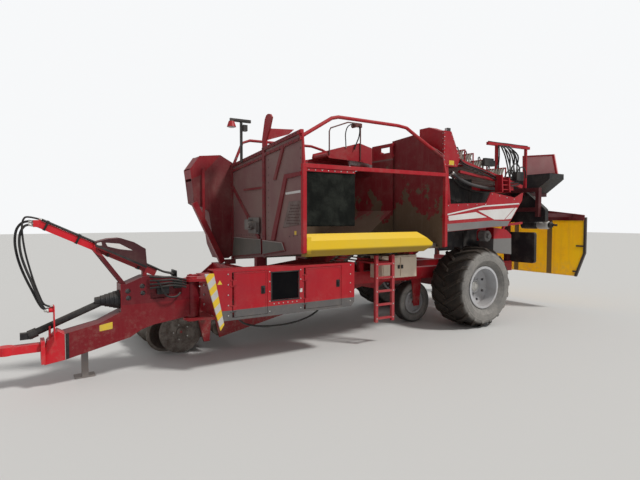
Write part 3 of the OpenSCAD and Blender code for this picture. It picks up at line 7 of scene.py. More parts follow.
import bpy
import numpy as np
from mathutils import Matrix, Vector


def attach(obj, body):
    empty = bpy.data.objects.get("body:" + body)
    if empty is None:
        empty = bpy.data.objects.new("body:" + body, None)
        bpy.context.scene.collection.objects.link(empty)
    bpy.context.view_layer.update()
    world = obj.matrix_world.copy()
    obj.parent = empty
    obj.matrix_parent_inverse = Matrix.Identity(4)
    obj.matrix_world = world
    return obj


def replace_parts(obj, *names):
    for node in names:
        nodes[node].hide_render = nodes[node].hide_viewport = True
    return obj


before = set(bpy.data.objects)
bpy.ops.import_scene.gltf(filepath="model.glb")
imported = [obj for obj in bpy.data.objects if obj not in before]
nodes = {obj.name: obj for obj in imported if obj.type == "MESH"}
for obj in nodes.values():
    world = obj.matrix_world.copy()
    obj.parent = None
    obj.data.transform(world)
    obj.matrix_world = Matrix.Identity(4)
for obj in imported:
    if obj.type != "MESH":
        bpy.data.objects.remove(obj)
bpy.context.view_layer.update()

# Viewpoint: a standing person's eye, off the left front corner, with the
# moderate wide angle of a telephone's main camera.
camera_data = bpy.data.cameras.new("camera")
camera_data.lens = 27.0
camera_data.sensor_width = 36.0
camera = bpy.data.objects.new("camera", camera_data)
camera.location = (4.80, 6.83, 1.87)
camera.rotation_euler = Vector((-0.534, -0.845, -0.0454)).to_track_quat("-Z", "Y").to_euler()
bpy.context.scene.collection.objects.link(camera)
bpy.context.scene.camera = camera

# The hydraulic hoses at the front: black rubber over steel braid, 26 mm thick.
# They leave crimped steel sleeves at the arm's tip, hang in a free bow, and
# end in couplers on the rack; a third hangs in a bow below the side panels.
AXLE_X = -1.92


def from_axle(points):
    """Points whose X is counted forward from the wheel axle, moved into the frame: AXLE_X is added to X."""
    moved = np.array(points, float)
    moved[..., 0] += AXLE_X
    return moved


def smooth_line(points, parts=6):
    """Line through the points: between b and c, with a before and d after, the place at share u is half of
    2b + (c - a)u + (2a - 5b + 4c - d)u^2 + (3b - a - 3c + d)u^3."""
    p = np.asarray(points, float)
    padded = np.vstack([p[:1], p, p[-1:]])
    a, b, c, d = (padded[i:len(padded) - 3 + i, None] for i in range(4))
    u = (np.arange(parts) / parts)[None, :, None]
    line = (2 * b + (c - a) * u + (2 * a - 5 * b + 4 * c - d) * u ** 2 + (3 * b - a - 3 * c + d) * u ** 3) / 2
    return np.vstack([line.reshape(-1, 3), p[-1:]])


def grid_faces(rows, columns, closed):
    """Faces with four corners between neighbouring rows and columns; closed joins the last column to the
    first."""
    row, column = np.meshgrid(np.arange(rows - 1), np.arange(columns - (not closed)), indexing="ij")
    after = (column + 1) % columns
    here, below = row * columns, (row + 1) * columns
    return np.stack((here + column, here + after, below + after, below + column), -1).reshape(-1, 4)


def ringed(rings):
    """Closed surface through rings of points (rows, places round, 3), with one face over each end."""
    rows, round_count = rings.shape[:2]
    first = np.arange(round_count)[None, ::-1]
    last = first[:, ::-1] + (rows - 1) * round_count
    return rings.reshape(-1, 3), [grid_faces(rows, round_count, True), first, last]


def tube(line, radius, sides=8):
    """Round bar along a line: place = line + radius (across cos a + up sin a), with across and up square to
    the line's direction; radius is one number or one for each point."""
    line = np.asarray(line, float)
    along = np.gradient(line, axis=0)
    along /= np.linalg.norm(along, axis=1, keepdims=True)
    flattest = np.linalg.eigh(along.T @ along)[1][:, 0]
    across = np.cross(along, flattest)
    across /= np.linalg.norm(across, axis=1, keepdims=True)
    up = np.cross(along, across)
    a = (np.arange(sides) * 2 * math.pi / sides)[None, :, None]
    reach = np.broadcast_to(radius, len(line))[:, None, None]
    return ringed(line[:, None] + reach * (across[:, None] * np.cos(a) + up[:, None] * np.sin(a)))


sharp_edge = math.radians(35)


def piece(name, shapes, finish, body):
    """One object from several surfaces, riding on a body; edges sharper than 35 degrees stay sharp."""
    points = np.vstack([place for place, _ in shapes])
    starts = np.cumsum([0] + [len(place) for place, _ in shapes])
    sets = [corners + start for (_, face_sets), start in zip(shapes, starts) for corners in face_sets]
    counts = np.concatenate([np.full(len(corners), corners.shape[1]) for corners in sets])
    mesh = bpy.data.meshes.new(name)
    mesh.vertices.add(len(points))
    mesh.vertices.foreach_set("co", points.ravel())
    mesh.loops.add(int(counts.sum()))
    mesh.loops.foreach_set("vertex_index", np.concatenate([corners.ravel() for corners in sets]))
    mesh.polygons.add(len(counts))
    mesh.polygons.foreach_set("loop_start", np.concatenate([[0], np.cumsum(counts)[:-1]]))
    mesh.update(calc_edges=True)
    mesh.shade_smooth()
    mesh.set_sharp_from_angle(angle=sharp_edge)
    mesh.materials.append(finish)
    made = bpy.data.objects.new(name, mesh)
    bpy.context.scene.collection.objects.link(made)
    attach(made, body)
    return made


class Finish:
    """A material under construction: its node tree, and short ways to add and join nodes."""

    def __init__(self, name):
        self.material = bpy.data.materials.new(name)
        self.material.use_nodes = True
        self.tree = self.material.node_tree
        self.shader = self.tree.nodes["Principled BSDF"]
        self.place = self.tree.nodes.new("ShaderNodeTexCoord").outputs["Object"]
        split = self.node("ShaderNodeSeparateXYZ", {0: self.place})
        self.x, self.y, self.z = (split.outputs[axis] for axis in "XYZ")

    def fill(self, socket, value):
        """Joins another node's output to the socket, or sets the socket to a number, a vector or a colour."""
        if isinstance(value, bpy.types.NodeSocket):
            self.tree.links.new(value, socket)
        else:
            socket.default_value = (*value, 1.0) if socket.type == "RGBA" else value

    def node(self, kind, sockets=(), **settings):
        """A node of this kind with its settings, and its sockets filled."""
        made = self.tree.nodes.new(kind)
        for name, value in settings.items():
            setattr(made, name, value)
        for name, value in dict(sockets).items():
            self.fill(made.inputs[name], value)
        return made

    def stretched(self, scale):
        """The object's coordinates, scaled along X, Y and Z."""
        return self.node("ShaderNodeMapping", {"Vector": self.place, "Scale": scale}).outputs[0]

    def spread(self, value, low, high, to_low=0.0, to_high=1.0):
        """A value carried smoothly from the range low to high into to_low to to_high."""
        sockets = {"Value": value, "From Min": low, "From Max": high, "To Min": to_low, "To Max": to_high}
        return self.node("ShaderNodeMapRange", sockets, interpolation_type="SMOOTHSTEP").outputs["Result"]

    def noise(self, scale, detail=4.0, rough=0.6, at=None, low=0.0, high=1.0):
        """Cloudy pattern of so many patches to the metre, spread between low and high."""
        sockets = {"Vector": at or self.place, "Scale": scale, "Detail": detail, "Roughness": rough}
        return self.spread(self.node("ShaderNodeTexNoise", sockets).outputs["Fac"], low, high)

    def maths(self, operation, a, b=0.0, clamp=True):
        """One sum, product or other operation on two values, kept between 0 and 1 unless clamp is off."""
        return self.node("ShaderNodeMath", {0: a, 1: b}, operation=operation, use_clamp=clamp).outputs[0]

    def times(self, a, b, clamp=True):
        """Product a b."""
        return self.maths("MULTIPLY", a, b, clamp)

    def plus(self, a, b, clamp=True):
        """Sum a + b."""
        return self.maths("ADD", a, b, clamp)

    def minus(self, a, b, clamp=True):
        """Difference a - b."""
        return self.maths("SUBTRACT", a, b, clamp)

    def larger(self, a, b):
        """The larger of a and b."""
        return self.maths("MAXIMUM", a, b)

    def beyond(self, value, limit):
        """1 where the value is above the limit, and 0 elsewhere."""
        return self.maths("GREATER_THAN", value, limit)

    def where(self, *pairs):
        """1 where the first value of every pair is above the second, and 0 elsewhere."""
        share = self.beyond(*pairs[0])
        for value, limit in pairs[1:]:
            share = self.times(share, self.beyond(value, limit))
        return share

    def mix(self, share, a, b):
        """Colour a where share is 0 and colour b where it is 1."""
        return self.node("ShaderNodeMix", {0: share, 6: a, 7: b}, data_type="RGBA").outputs[2]

    def flat_normal(self):
        """The direction in which a face looks."""
        return self.node("ShaderNodeNewGeometry").outputs["Normal"]

    def rounded_normal(self, radius):
        """The same direction, with edges rounded to the radius."""
        return self.node("ShaderNodeBevel", {"Radius": radius}, samples=4).outputs[0]

    def upward(self):
        """1 on faces that look up and 0 on the others."""
        split = self.node("ShaderNodeSeparateXYZ", {0: self.flat_normal()})
        return self.spread(split.outputs["Z"], 0.25, 0.95)

    def edges(self, radius=0.012):
        """1 along edges and corners, from how far a rounded normal turns from the flat one."""
        normals = {0: self.flat_normal(), 1: self.rounded_normal(radius)}
        alike = self.node("ShaderNodeVectorMath", normals, operation="DOT_PRODUCT").outputs["Value"]
        return self.spread(self.minus(1.0, alike), 0.02, 0.25)

    def done(self, colour, roughness, bump, bump_height, rounding=0.004, gloss=0.3):
        """Joins colour, roughness, gloss and relief to the shader and gives the material back."""
        relief = {"Strength": 1.0, "Distance": bump_height, "Height": bump}
        if rounding:
            relief["Normal"] = self.rounded_normal(rounding)
        normal = self.node("ShaderNodeBump", relief).outputs[0]
        for name, value in (("Base Color", colour), ("Roughness", roughness), ("Specular IOR Level", gloss),
                            ("Normal", normal)):
            self.fill(self.shader.inputs[name], value)
        return self.material


def rubber_like(name, colour, dust, rough=0.7, grain=55.0, relief=0.0012, dusting=0.55, rounding=0.004,
                gloss=0.3):
    """Rubber or plastic with dust in its pores and on its upper faces."""
    made = Finish(name)
    pores = made.noise(grain, detail=6.0, rough=0.75, low=0.35, high=0.72)
    clouds = made.noise(4.0, detail=6.0, rough=0.7, low=0.38, high=0.72)
    film = made.times(clouds, dusting)
    film = made.larger(film, made.times(made.upward(), dusting * 1.2))
    film = made.times(film, made.plus(made.times(pores, 0.5), 0.55))
    roughness = made.spread(film, 0, 0.7, rough, 0.95)
    return made.done(made.mix(film, colour, dust), roughness, pores, relief, rounding=rounding, gloss=gloss)


def worn_steel(name, bright, dark, share=0.5, rough=0.45, metallic=0.8):
    """Bare steel, polished where soil slides over it and dull with soil in between."""
    steel = Finish(name)
    soil = steel.noise(7.0, detail=8.0, rough=0.75, low=0.36, high=0.66)
    grain = steel.noise(60.0, detail=5.0, rough=0.7, low=0.35, high=0.75)
    cover = steel.times(soil, steel.plus(steel.times(grain, 0.5), share))
    colour = steel.mix(cover, bright, dark)
    steel_look = steel.done(colour, steel.spread(cover, 0.0, 0.9, rough, 0.95), grain, 0.0012)
    shine = steel.times(steel.minus(1.0, cover), metallic)
    steel.fill(steel.shader.inputs["Metallic"], shine)
    return steel_look


hose_rubber = rubber_like("hose_rubber", (0.014, 0.014, 0.015), (0.20, 0.18, 0.16), rough=0.38, grain=140.0,
                          relief=0.0004, dusting=0.30, rounding=0)
zinc = worn_steel("sleeve_zinc", (0.58, 0.58, 0.56), (0.30, 0.26, 0.21), share=0.15, rough=0.3)
hose_diameter = 0.026
sleeve_crimps = 0.67 * np.array((0.86, 1.0, 1.0, 0.9, 1.0, 1.0, 0.9, 1.0, 0.86))
front_routes = {
    "hose_upper": [
        (6.570, 0.785, 1.830), (6.620, 0.785, 1.836), (6.680, 0.788, 1.812), (6.725, 0.795, 1.740),
        (6.740, 0.805, 1.620), (6.725, 0.820, 1.480), (6.690, 0.838, 1.340), (6.640, 0.855, 1.200),
        (6.590, 0.870, 1.080), (6.550, 0.882, 0.980), (6.512, 0.888, 0.910), (6.475, 0.890, 0.884),
        (6.450, 0.890, 0.880)],
    "hose_lower": [
        (6.570, 0.815, 1.795), (6.610, 0.815, 1.800), (6.655, 0.820, 1.780), (6.690, 0.832, 1.710),
        (6.700, 0.850, 1.600), (6.685, 0.872, 1.470), (6.650, 0.895, 1.340), (6.605, 0.915, 1.210),
        (6.565, 0.932, 1.090), (6.530, 0.945, 0.990), (6.500, 0.952, 0.920), (6.472, 0.955, 0.886),
        (6.450, 0.955, 0.880)],
}


def free_hose(name, route, body, diameter=hose_diameter, rubber=hose_rubber, sleeve_length=0.045):
    """A hose through the route's points with a crimped sleeve on each end."""
    line = smooth_line(from_axle(route))
    for end, way in (("out", line), ("in", line[::-1])):
        step = way[3] - way[0]
        step /= np.linalg.norm(step)
        places = way[0] + step * np.linspace(0.0, sleeve_length, len(sleeve_crimps))[:, None]
        sleeve = tube(places, diameter * sleeve_crimps, 12)
        piece(name + "_sleeve_" + end, [sleeve], zinc, body)
    made = piece(name + "_rubber", [tube(line, diameter / 2, 12)], rubber, body)
    return made


for hose_name, hose_route in front_routes.items():
    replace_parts(free_hose(hose_name, hose_route, "drawbar_unit"), hose_name)
free_hose("hose_low", [
    (4.400, 1.215, 0.652), (4.385, 1.215, 0.610), (4.330, 1.213, 0.550), (4.230, 1.210, 0.505),
    (4.080, 1.208, 0.472), (3.900, 1.205, 0.455), (3.700, 1.205, 0.455), (3.500, 1.205, 0.478),
    (3.340, 1.205, 0.520), (3.230, 1.205, 0.572), (3.180, 1.205, 0.618), (3.170, 1.205, 0.652)], "chassis")

# Light: a pale studio dome and one broad soft lamp from the rear left, high
# up, so that tops and the left side are lit and the front wall is in shade.
bpy.context.scene.view_settings.view_transform = "Standard"
world = bpy.data.worlds.new("studio")
bpy.context.scene.world = world
world.use_nodes = True
dome = world.node_tree
dome.nodes["Background"].inputs["Color"].default_value = (1.0, 1.0, 1.0, 1.0)
dome.nodes["Background"].inputs["Strength"].default_value = 0.46
seen = dome.nodes.new("ShaderNodeBackground")
seen.inputs["Color"].default_value = (0.93, 0.94, 0.95, 1.0)
seen.inputs["Strength"].default_value = 1.0
rays = dome.nodes.new("ShaderNodeLightPath")
clear_rays = dome.nodes.new("ShaderNodeMath")
clear_rays.operation = "MAXIMUM"
dome.links.new(rays.outputs["Is Camera Ray"], clear_rays.inputs[0])
dome.links.new(rays.outputs["Is Transmission Ray"], clear_rays.inputs[1])
blend_sky = dome.nodes.new("ShaderNodeMixShader")
dome.links.new(clear_rays.outputs[0], blend_sky.inputs["Fac"])
dome.links.new(dome.nodes["Background"].outputs[0], blend_sky.inputs[1])
dome.links.new(seen.outputs[0], blend_sky.inputs[2])
dome.links.new(blend_sky.outputs[0], dome.nodes["World Output"].inputs["Surface"])

lamp_data = bpy.data.lights.new("lamp", "SUN")
lamp_data.energy = 2.3
lamp_data.angle = math.radians(9)
lamp_data.color = (1.0, 0.98, 0.95)
lamp = bpy.data.objects.new("lamp", lamp_data)
lamp.rotation_euler = Vector((0.38, -0.52, -0.76)).to_track_quat("-Z", "Y").to_euler()
bpy.context.scene.collection.objects.link(lamp)

floor_half = 60.0
floor_corners = [(x * floor_half, y * floor_half, 0) for x, y in ((-1, -1), (1, -1), (1, 1), (-1, 1))]
floor_mesh = bpy.data.meshes.new("floor")
floor_mesh.from_pydata(floor_corners, [], [(0, 1, 2, 3)])
floor = bpy.data.objects.new("floor", floor_mesh)
bpy.context.scene.collection.objects.link(floor)
floor_paint = bpy.data.materials.new("floor_paint")
floor_paint.use_nodes = True
floor_shader = floor_paint.node_tree.nodes["Principled BSDF"]
floor_shader.inputs["Base Color"].default_value = (0.60, 0.60, 0.59, 1.0)
floor_shader.inputs["Roughness"].default_value = 0.9
floor_mesh.materials.append(floor_paint)

# The main frame: welded box beams with the stock for the drawbar at the front
# and the square axle beam across, sprayed red and caked with soil below.
bright_red = (0.40, 0.006, 0.015)
faded_red = (0.34, 0.012, 0.022)
soil_tan = (0.36, 0.29, 0.215)
road_dust = (0.33, 0.26, 0.21)


def field_paint(name, fresh=bright_red, faded=faded_red, dust=0.5, dust_colour=road_dust, mud=0.5,
                rough=0.40, zones=()):
    """Machine paint that has faded in patches, with dust on what faces up, streaks on the sides, mud low
    down and chipped edges. Each zone is a colour and a function of the finish that gives its share."""
    paint = Finish(name)
    colour = paint.mix(paint.noise(1.3, detail=5.0, low=0.38, high=0.66), fresh, faded)
    for zone_colour, share in zones:
        colour = paint.mix(share(paint), colour, zone_colour)
    fine = paint.noise(34.0, detail=6.0, rough=0.75, low=0.40, high=0.72)
    upright = paint.stretched((15.0, 15.0, 1.1))
    streaks = paint.noise(1.0, detail=5.0, rough=0.7, at=upright, low=0.48, high=0.78)
    clouds = paint.noise(3.1, detail=6.0, rough=0.7, low=0.42, high=0.74)
    film = paint.times(paint.larger(streaks, clouds), dust * 0.7)
    settled = paint.times(paint.upward(), paint.plus(paint.times(clouds, 0.5), 0.45))
    dusty = paint.larger(film, paint.times(settled, min(1.0, dust * 1.3)))
    low_down = paint.spread(paint.z, 1.15, 0.25)
    splashes = paint.times(low_down, paint.noise(9.0, detail=8.0, rough=0.8, low=0.46, high=0.64))
    dusty = paint.larger(dusty, paint.times(splashes, mud))
    dusty = paint.times(dusty, paint.plus(paint.times(fine, 0.45), 0.62))
    colour = paint.mix(dusty, colour, dust_colour)
    chips = paint.times(paint.edges(), paint.noise(17.0, detail=7.0, rough=0.8, low=0.52, high=0.66))
    colour = paint.mix(paint.times(chips, 0.7), colour, (0.16, 0.11, 0.09))
    return paint.done(colour, paint.spread(dusty, 0.0, 0.8, rough, 0.92), fine, 0.0007)


def dress(finish, *names):
    """Gives these solids the finish."""
    for name in names:
        nodes[name].data.materials.clear()
        nodes[name].data.materials.append(finish)


frame_red = field_paint("frame_red", dust=0.18, mud=0.65)
dress(frame_red, "main_frame")
dress(field_paint("axle_red", (0.27, 0.012, 0.02), (0.30, 0.04, 0.045), dust=0.5, mud=0.8), "axle_beam")


def circle_round(outward, count):
    """Places on a circle of radius 1 square to outward: across cos a + up sin a."""
    across = np.cross(outward, (0.31, 0.52, 0.80))
    across /= np.linalg.norm(across)
    a = (np.arange(count) * 2 * math.pi / count)[:, None]
    return across * np.cos(a) + np.cross(outward, across) * np.sin(a)


def bolt_heads(places, outward, radius, height, sides=6):
    """Chamfered heads: over each place stand rings of radius 1, 1 and 0.8 at heights 0, 0.7 and 1 of a
    head."""
    outward = np.asarray(outward, float)
    circle = circle_round(outward, sides)
    head = np.stack([radius * r * circle + height * h * outward for r, h in ((1, 0), (1, 0.7), (0.8, 1))])
    starts = (np.arange(len(places)) * 3 * sides)[:, None, None]
    walls = (grid_faces(3, sides, True)[None] + starts).reshape(-1, 4)
    caps = (np.arange(2 * sides, 3 * sides)[None, None] + starts).reshape(-1, sides)
    return (places[:, None, None] + head[None]).reshape(-1, 3), [walls, caps]


def bolt_runs(axis, depth, runs, radius=0.009, height=0.006):
    """Heads on the face across the axis X or Y at this depth. A run (a0, b0, a1, b1, count) has so many,
    evenly spaced from the place (a0, b0) in the face to (a1, b1). All X are counted from the axle."""
    place = "XY".index(axis)
    flat = np.vstack([np.linspace((a0, b0), (a1, b1), count) for a0, b0, a1, b1, count in runs])
    return bolt_heads(from_axle(np.insert(flat, place, depth, axis=1)), np.eye(3)[place], radius, height)


piece("stock_bolts", [bolt_runs("Y", 1.1615, [(4.535, 0.68, 4.535, 1.04, 4)], 0.016, 0.012),
                      bolt_runs("X", 4.6215, [(0.62, 0.72, 0.62, 0.98, 3)], 0.016, 0.012)],
      zinc, "chassis")

# The wheels: wide lugged farm tyres with dust ground into the tread, on pressed
# steel rims in silver paint, each held by ten nuts round a domed hub cap.
wheel_radius = 0.690
wheel_side = 1.145
support_x, support_z = AXLE_X + 0.690, 0.365


def tyre_look(name, axle_x, axle_z, wall_end, ring_pitch):
    """Tyre rubber: grey dusty side walls with moulded rings round the axle, and a dark tread with brown
    soil on its edges. The radius is the length of (x, z) from the axle."""
    tyre = Finish(name)
    at_axle = {"Vector": tyre.place, "Location": (-axle_x, 0, -axle_z)}
    centred = tyre.node("ShaderNodeMapping", at_axle).outputs[0]
    flat = tyre.node("ShaderNodeVectorMath", {0: centred, 1: (1, 0, 1)}, operation="MULTIPLY").outputs[0]
    radius = tyre.node("ShaderNodeVectorMath", {0: flat}, operation="LENGTH").outputs["Value"]
    tread = tyre.spread(radius, wall_end - 0.02, wall_end + 0.03)
    pores = tyre.noise(70.0, detail=6.0, rough=0.75, low=0.35, high=0.72)
    clouds = tyre.noise(5.0, detail=7.0, rough=0.75, low=0.34, high=0.70)
    wall = tyre.mix(clouds, (0.19, 0.185, 0.178), (0.30, 0.285, 0.265))
    edge_soil = tyre.larger(tyre.edges(0.02), tyre.times(clouds, 0.45))
    running = tyre.mix(edge_soil, (0.014, 0.013, 0.013), (0.085, 0.062, 0.045))
    colour = tyre.mix(tyre.times(pores, 0.25), tyre.mix(tread, wall, running), (0.075, 0.062, 0.052))
    ring = tyre.maths("PINGPONG", radius, ring_pitch, clamp=False)
    moulded = tyre.times(tyre.spread(ring, 0.0, ring_pitch * 0.4), tyre.minus(1.0, tread))
    relief = tyre.plus(tyre.times(moulded, 0.5), tyre.times(pores, 0.3))
    return tyre.done(colour, 0.86, relief, 0.006)


dress(tyre_look("main_tyre", AXLE_X, wheel_radius, 0.60, 0.045), "tyre_left", "tyre_right")
dress(tyre_look("support_rubber", support_x, support_z, 0.335, 0.025), "support_tyre")
dress(field_paint("rim_silver", (0.50, 0.51, 0.53), (0.44, 0.44, 0.45), dust=0.38, rough=0.35),
      "rim_left", "rim_right", "support_rim")


def turned(profile, centre, outward, turns=24):
    """Surface of revolution: place = centre + height outward + radius circle, for each radius and height of
    the profile."""
    outward = np.asarray(outward, float)
    profile = np.asarray(profile, float)[:, None, :, None]
    circle = circle_round(outward, turns)
    return ringed(np.asarray(centre, float) + profile[:, :, 1] * outward + profile[:, :, 0] * circle)


def round_places(centre, radius, count):
    """Places on a circle round the Y axis through the centre."""
    a = np.arange(count) * 2 * math.pi / count
    return np.asarray(centre) + radius * np.stack([np.cos(a), np.zeros(count), np.sin(a)], 1)


forward, leftward = (1, 0, 0), (0, 1, 0)
hub_cap = [(0.090, 0.094), (0.090, 0.104), (0.082, 0.112), (0.052, 0.118), (0.048, 0.126), (0.020, 0.130)]
for side, sign in (("left", 1), ("right", -1)):
    hub = np.array((AXLE_X, sign * wheel_side, wheel_radius))
    nut_ring = round_places(hub + (0, sign * 0.0335, 0), 0.158, 10)
    hub_nuts = bolt_heads(nut_ring, (0, sign, 0), 0.017, 0.022)
    piece("hub_nuts_" + side, [hub_nuts, turned(hub_cap, hub, (0, sign, 0))], zinc, "wheel_" + side)
support_ring = round_places((support_x, 0.403, support_z), 0.085, 6)
piece("support_nuts", [bolt_heads(support_ring, leftward, 0.011, 0.014)], zinc, "support_wheel")

# The lifting unit: red arms on two pivots with forged shares, hollow rollers
# that ride on the ridges, and flat discs of bare steel that cut the haulm.
share_steel = worn_steel("share_steel", (0.21, 0.19, 0.17), (0.085, 0.065, 0.050))
soil_steel = worn_steel("web_steel", (0.19, 0.17, 0.15), (0.10, 0.075, 0.055))
dress(field_paint("lift_red", (0.28, 0.008, 0.015), (0.28, 0.02, 0.026), dust=0.25, mud=0.7), "lift_frame")
dress(share_steel, "shares", "disc_left", "disc_middle", "disc_right")
dress(soil_steel, "ridge_roller_left", "ridge_roller_right")
for disc_body, disc_side in (("disc_l", 0.290), ("disc_m", -0.490), ("disc_r", -1.270)):
    disc_ring = round_places((4.850 + AXLE_X, disc_side + 0.0205, 0.315), 0.105, 5)
    piece(disc_body + "_nuts", [bolt_heads(disc_ring, leftward, 0.011, 0.010)], zinc, disc_body)

# The crop channel: folded side sheets with the two rod webs running between
# them, rubber belts with steel rods riveted across.
dress(field_paint("channel_red", (0.28, 0.008, 0.015), (0.29, 0.022, 0.028), dust=0.28, mud=0.7),
      "web_channel")
dress(soil_steel, "webs", "bunker_floor", "head_floor")

# The rear frame: square posts and arms in red that carry the table, the star
# rollers, the cross conveyor in its black housing and the rear curtain.
# Painted shade: the posts and arms behind x = -3.60 and below z = 2.47 are painted near black.
dress(field_paint("post_red", dust=0.2, mud=0.6, zones=[
    ((0.075, 0.010, 0.014), lambda f: f.where((-3.60, f.x), (2.47, f.z)))]), "rear_frame", "picking_table")
dress(rubber_like("star_rubber", (0.018, 0.018, 0.018), (0.20, 0.17, 0.14), rough=0.75),
      "separator_rollers")
black_shell = rubber_like("black_shell", (0.014, 0.014, 0.016), (0.15, 0.135, 0.12), rough=0.45,
                          dusting=0.45)
dress(black_shell, "rear_conveyor")


def rounded(outline, radius, steps=3):
    """Outline with its corners rounded: from a, radius before corner b, to c, radius after it, the place is
    (1 - t)^2 a + 2 t (1 - t) b + t^2 c."""
    b = np.asarray(outline, float)
    before, after = np.roll(b, 1, 0) - b, np.roll(b, -1, 0) - b
    a = b + radius * before / np.linalg.norm(before, axis=1, keepdims=True)
    c = b + radius * after / np.linalg.norm(after, axis=1, keepdims=True)
    t = np.linspace(0, 1, steps + 1)[None, :, None]
    return ((1 - t) ** 2 * a[:, None] + 2 * t * (1 - t) * b[:, None] + t ** 2 * c[:, None]).reshape(-1, 2)


def plate(outline, axis, low, high):
    """Sheet cut to an outline in the plane across an axis, X, Y or Z: the outline at depth low and at
    depth high. All X are counted from the axle."""
    flat = np.array(outline, float)
    depths = np.array((low, high))
    if axis == "X":
        depths += AXLE_X
    else:
        flat[:, 0] += AXLE_X
    after = np.roll(flat, -1, 0)
    turn = (flat[:, 0] * after[:, 1] - after[:, 0] * flat[:, 1]).sum()
    if (turn > 0) == (axis == "Y"):
        flat = flat[::-1]
    place = "XYZ".index(axis)
    others = [k for k in range(3) if k != place]
    rings = np.zeros((2, len(flat), 3))
    rings[..., others] = flat
    rings[:, :, place] = depths[:, None]
    return ringed(rings)


def cut(outline, corner, axis, low, high):
    """A plate with its corners rounded."""
    return plate(rounded(outline, corner), axis, low, high)


def box_outline(a0, a1, b0, b1):
    """Four corners of a rectangle."""
    return [(a0, b0), (a1, b0), (a1, b1), (a0, b1)]


def block(a0, a1, b0, b1, corner, axis, low, high):
    """A rectangular plate with its corners rounded."""
    return cut(box_outline(a0, a1, b0, b1), corner, axis, low, high)


hood_cover = field_paint("hood_cover_red", (0.22, 0.010, 0.016), (0.26, 0.03, 0.038), dust=0.5)
piece("curtain_cover", [
    cut([(0.684, 1.835), (1.470, 1.835), (1.478, 1.935), (0.684, 2.033)], 0.015, "X", -3.000, -2.992),
    block(0.684, 1.470, 1.822, 1.842, 0.004, "X", -2.993, -2.965),
    plate([(0.690, 2.018), (1.478, 1.920), (1.478, 1.935), (0.690, 2.033)], "X", -2.993, -2.955),
], hood_cover, "chassis")
piece("conveyor_housing", [
    cut([(0.480, 2.440), (0.860, 2.430), (1.035, 2.285), (1.321, 2.040), (1.327, 1.80), (0.453, 1.783)],
        0.03, "X", -1.990, -1.886),
    cut([(0.80, 2.16), (1.07, 2.135), (1.28, 2.00), (1.28, 1.84), (0.52, 1.83)], 0.03, "X", -2.004, -1.988),
    block(0.500, 1.107, 0.980, 1.589, 0.05, "X", -1.960, -1.886),
    block(0.545, 1.062, 1.025, 1.544, 0.04, "X", -1.972, -1.958),
], black_shell, "chassis")
dress(field_paint("deflector_pink", (0.66, 0.29, 0.30), (0.70, 0.40, 0.40), dust=0.3, zones=[
    (bright_red, lambda f: f.beyond(f.x, -4.317))]), "deflector")

# The left rear side: a swept red panel above the wheel with blank white stripes
# and a grey foot, a black apron inboard of the wheel, and the drive motors.
panel_face, stripe_face, foot_face = 1.4448, 1.4462, 1.4460
decal_white = field_paint("stripe_white", (0.72, 0.71, 0.70), (0.66, 0.64, 0.62), dust=0.25, rough=0.3)
decal_grey = field_paint("stripe_grey", (0.17, 0.165, 0.17), (0.21, 0.20, 0.20), dust=0.25, rough=0.35)
dress(field_paint("panel_red", dust=0.22, mud=0.4, zones=[
    ((0.19, 0.185, 0.18), lambda f: f.where((1.50, f.z), (1.25, f.y)))]), "side_panels")
piece("panel_stripes", [
    plate([(0.928, 1.915), (0.928, 1.938), (0.052, 2.084), (-0.900, 2.142), (-0.925, 2.120),
           (0.052, 2.060)], "Y", panel_face, stripe_face),
    cut([(0.894, 1.905), (0.246, 1.972), (-0.038, 1.884), (0.88, 1.83)], 0.006, "Y", panel_face, stripe_face),
    cut([(0.191, 1.996), (-0.771, 2.053), (-0.498, 1.846), (-0.228, 1.847)], 0.006,
        "Y", panel_face, stripe_face),
    plate([(-0.790, 2.054), (-0.860, 2.058), (-0.690, 1.860), (-0.520, 1.848)], "Y", panel_face, stripe_face),
], decal_white, "chassis")
piece("panel_foot", [
    plate([(0.928, 1.656), (0.928, 1.777), (-0.184, 1.832), (-0.423, 1.822), (-0.650, 1.822),
           (-0.585, 1.733), (-0.259, 1.726)], "Y", panel_face, foot_face),
], decal_grey, "chassis")
piece("panel_bolts", [bolt_runs("Y", stripe_face, [
    (0.90, 2.07, 0.00, 2.105, 5), (0.90, 1.69, 0.90, 1.86, 2), (-0.16, 2.28, -0.76, 2.205, 4)])],
      zinc, "chassis")
piece("wheel_apron", [
    block(-0.950, 0.360, 1.285, 1.860, 0.030, "Y", 0.700, 0.706),
    block(-0.930, 0.340, 1.290, 1.320, 0.008, "Y", 0.705, 0.718),
    *[block(x - 0.012, x + 0.012, 1.310, 1.850, 0.006, "Y", 0.705, 0.716) for x in (-0.90, -0.30, 0.30)],
], black_shell, "chassis")
dress(field_paint("motor_grey", (0.15, 0.15, 0.15), (0.20, 0.19, 0.18), rough=0.5), "drive_motors")
fin = [(0.089, 0.0), (0.096, 0.002), (0.096, 0.010), (0.089, 0.012)]
first_fin, fin_pitch = 1.09, 0.024
piece("motor_fins", [
    turned(fin, from_axle((-0.340, first_fin + fin_pitch * k, 1.555)), leftward) for k in range(6)
], decal_grey, "chassis")

# The sorting table: pale rubber-coated rollers between red rails, with rubber
# fingers over them, cables tied along the rails, a pale motor at the rear, and
# thick hoses and black rubber skirts hanging below; one black sheet inboard
# stands in for the dark inner parts and their shade as painted shade.
table_low, table_high = (-1.290, 2.455), (0.400, 2.834)


def table_z(x):
    """Height of the table's rails at x, counted from the axle: on the line from table_low to table_high."""
    (x0, z0), (x1, z1) = table_low, table_high
    return z0 + (x - x0) * (z1 - z0) / (x1 - x0)


def bar(points, radius, sides=8):
    """A straight or bent round bar; all X are counted from the axle."""
    return tube(from_axle(points), radius, sides)


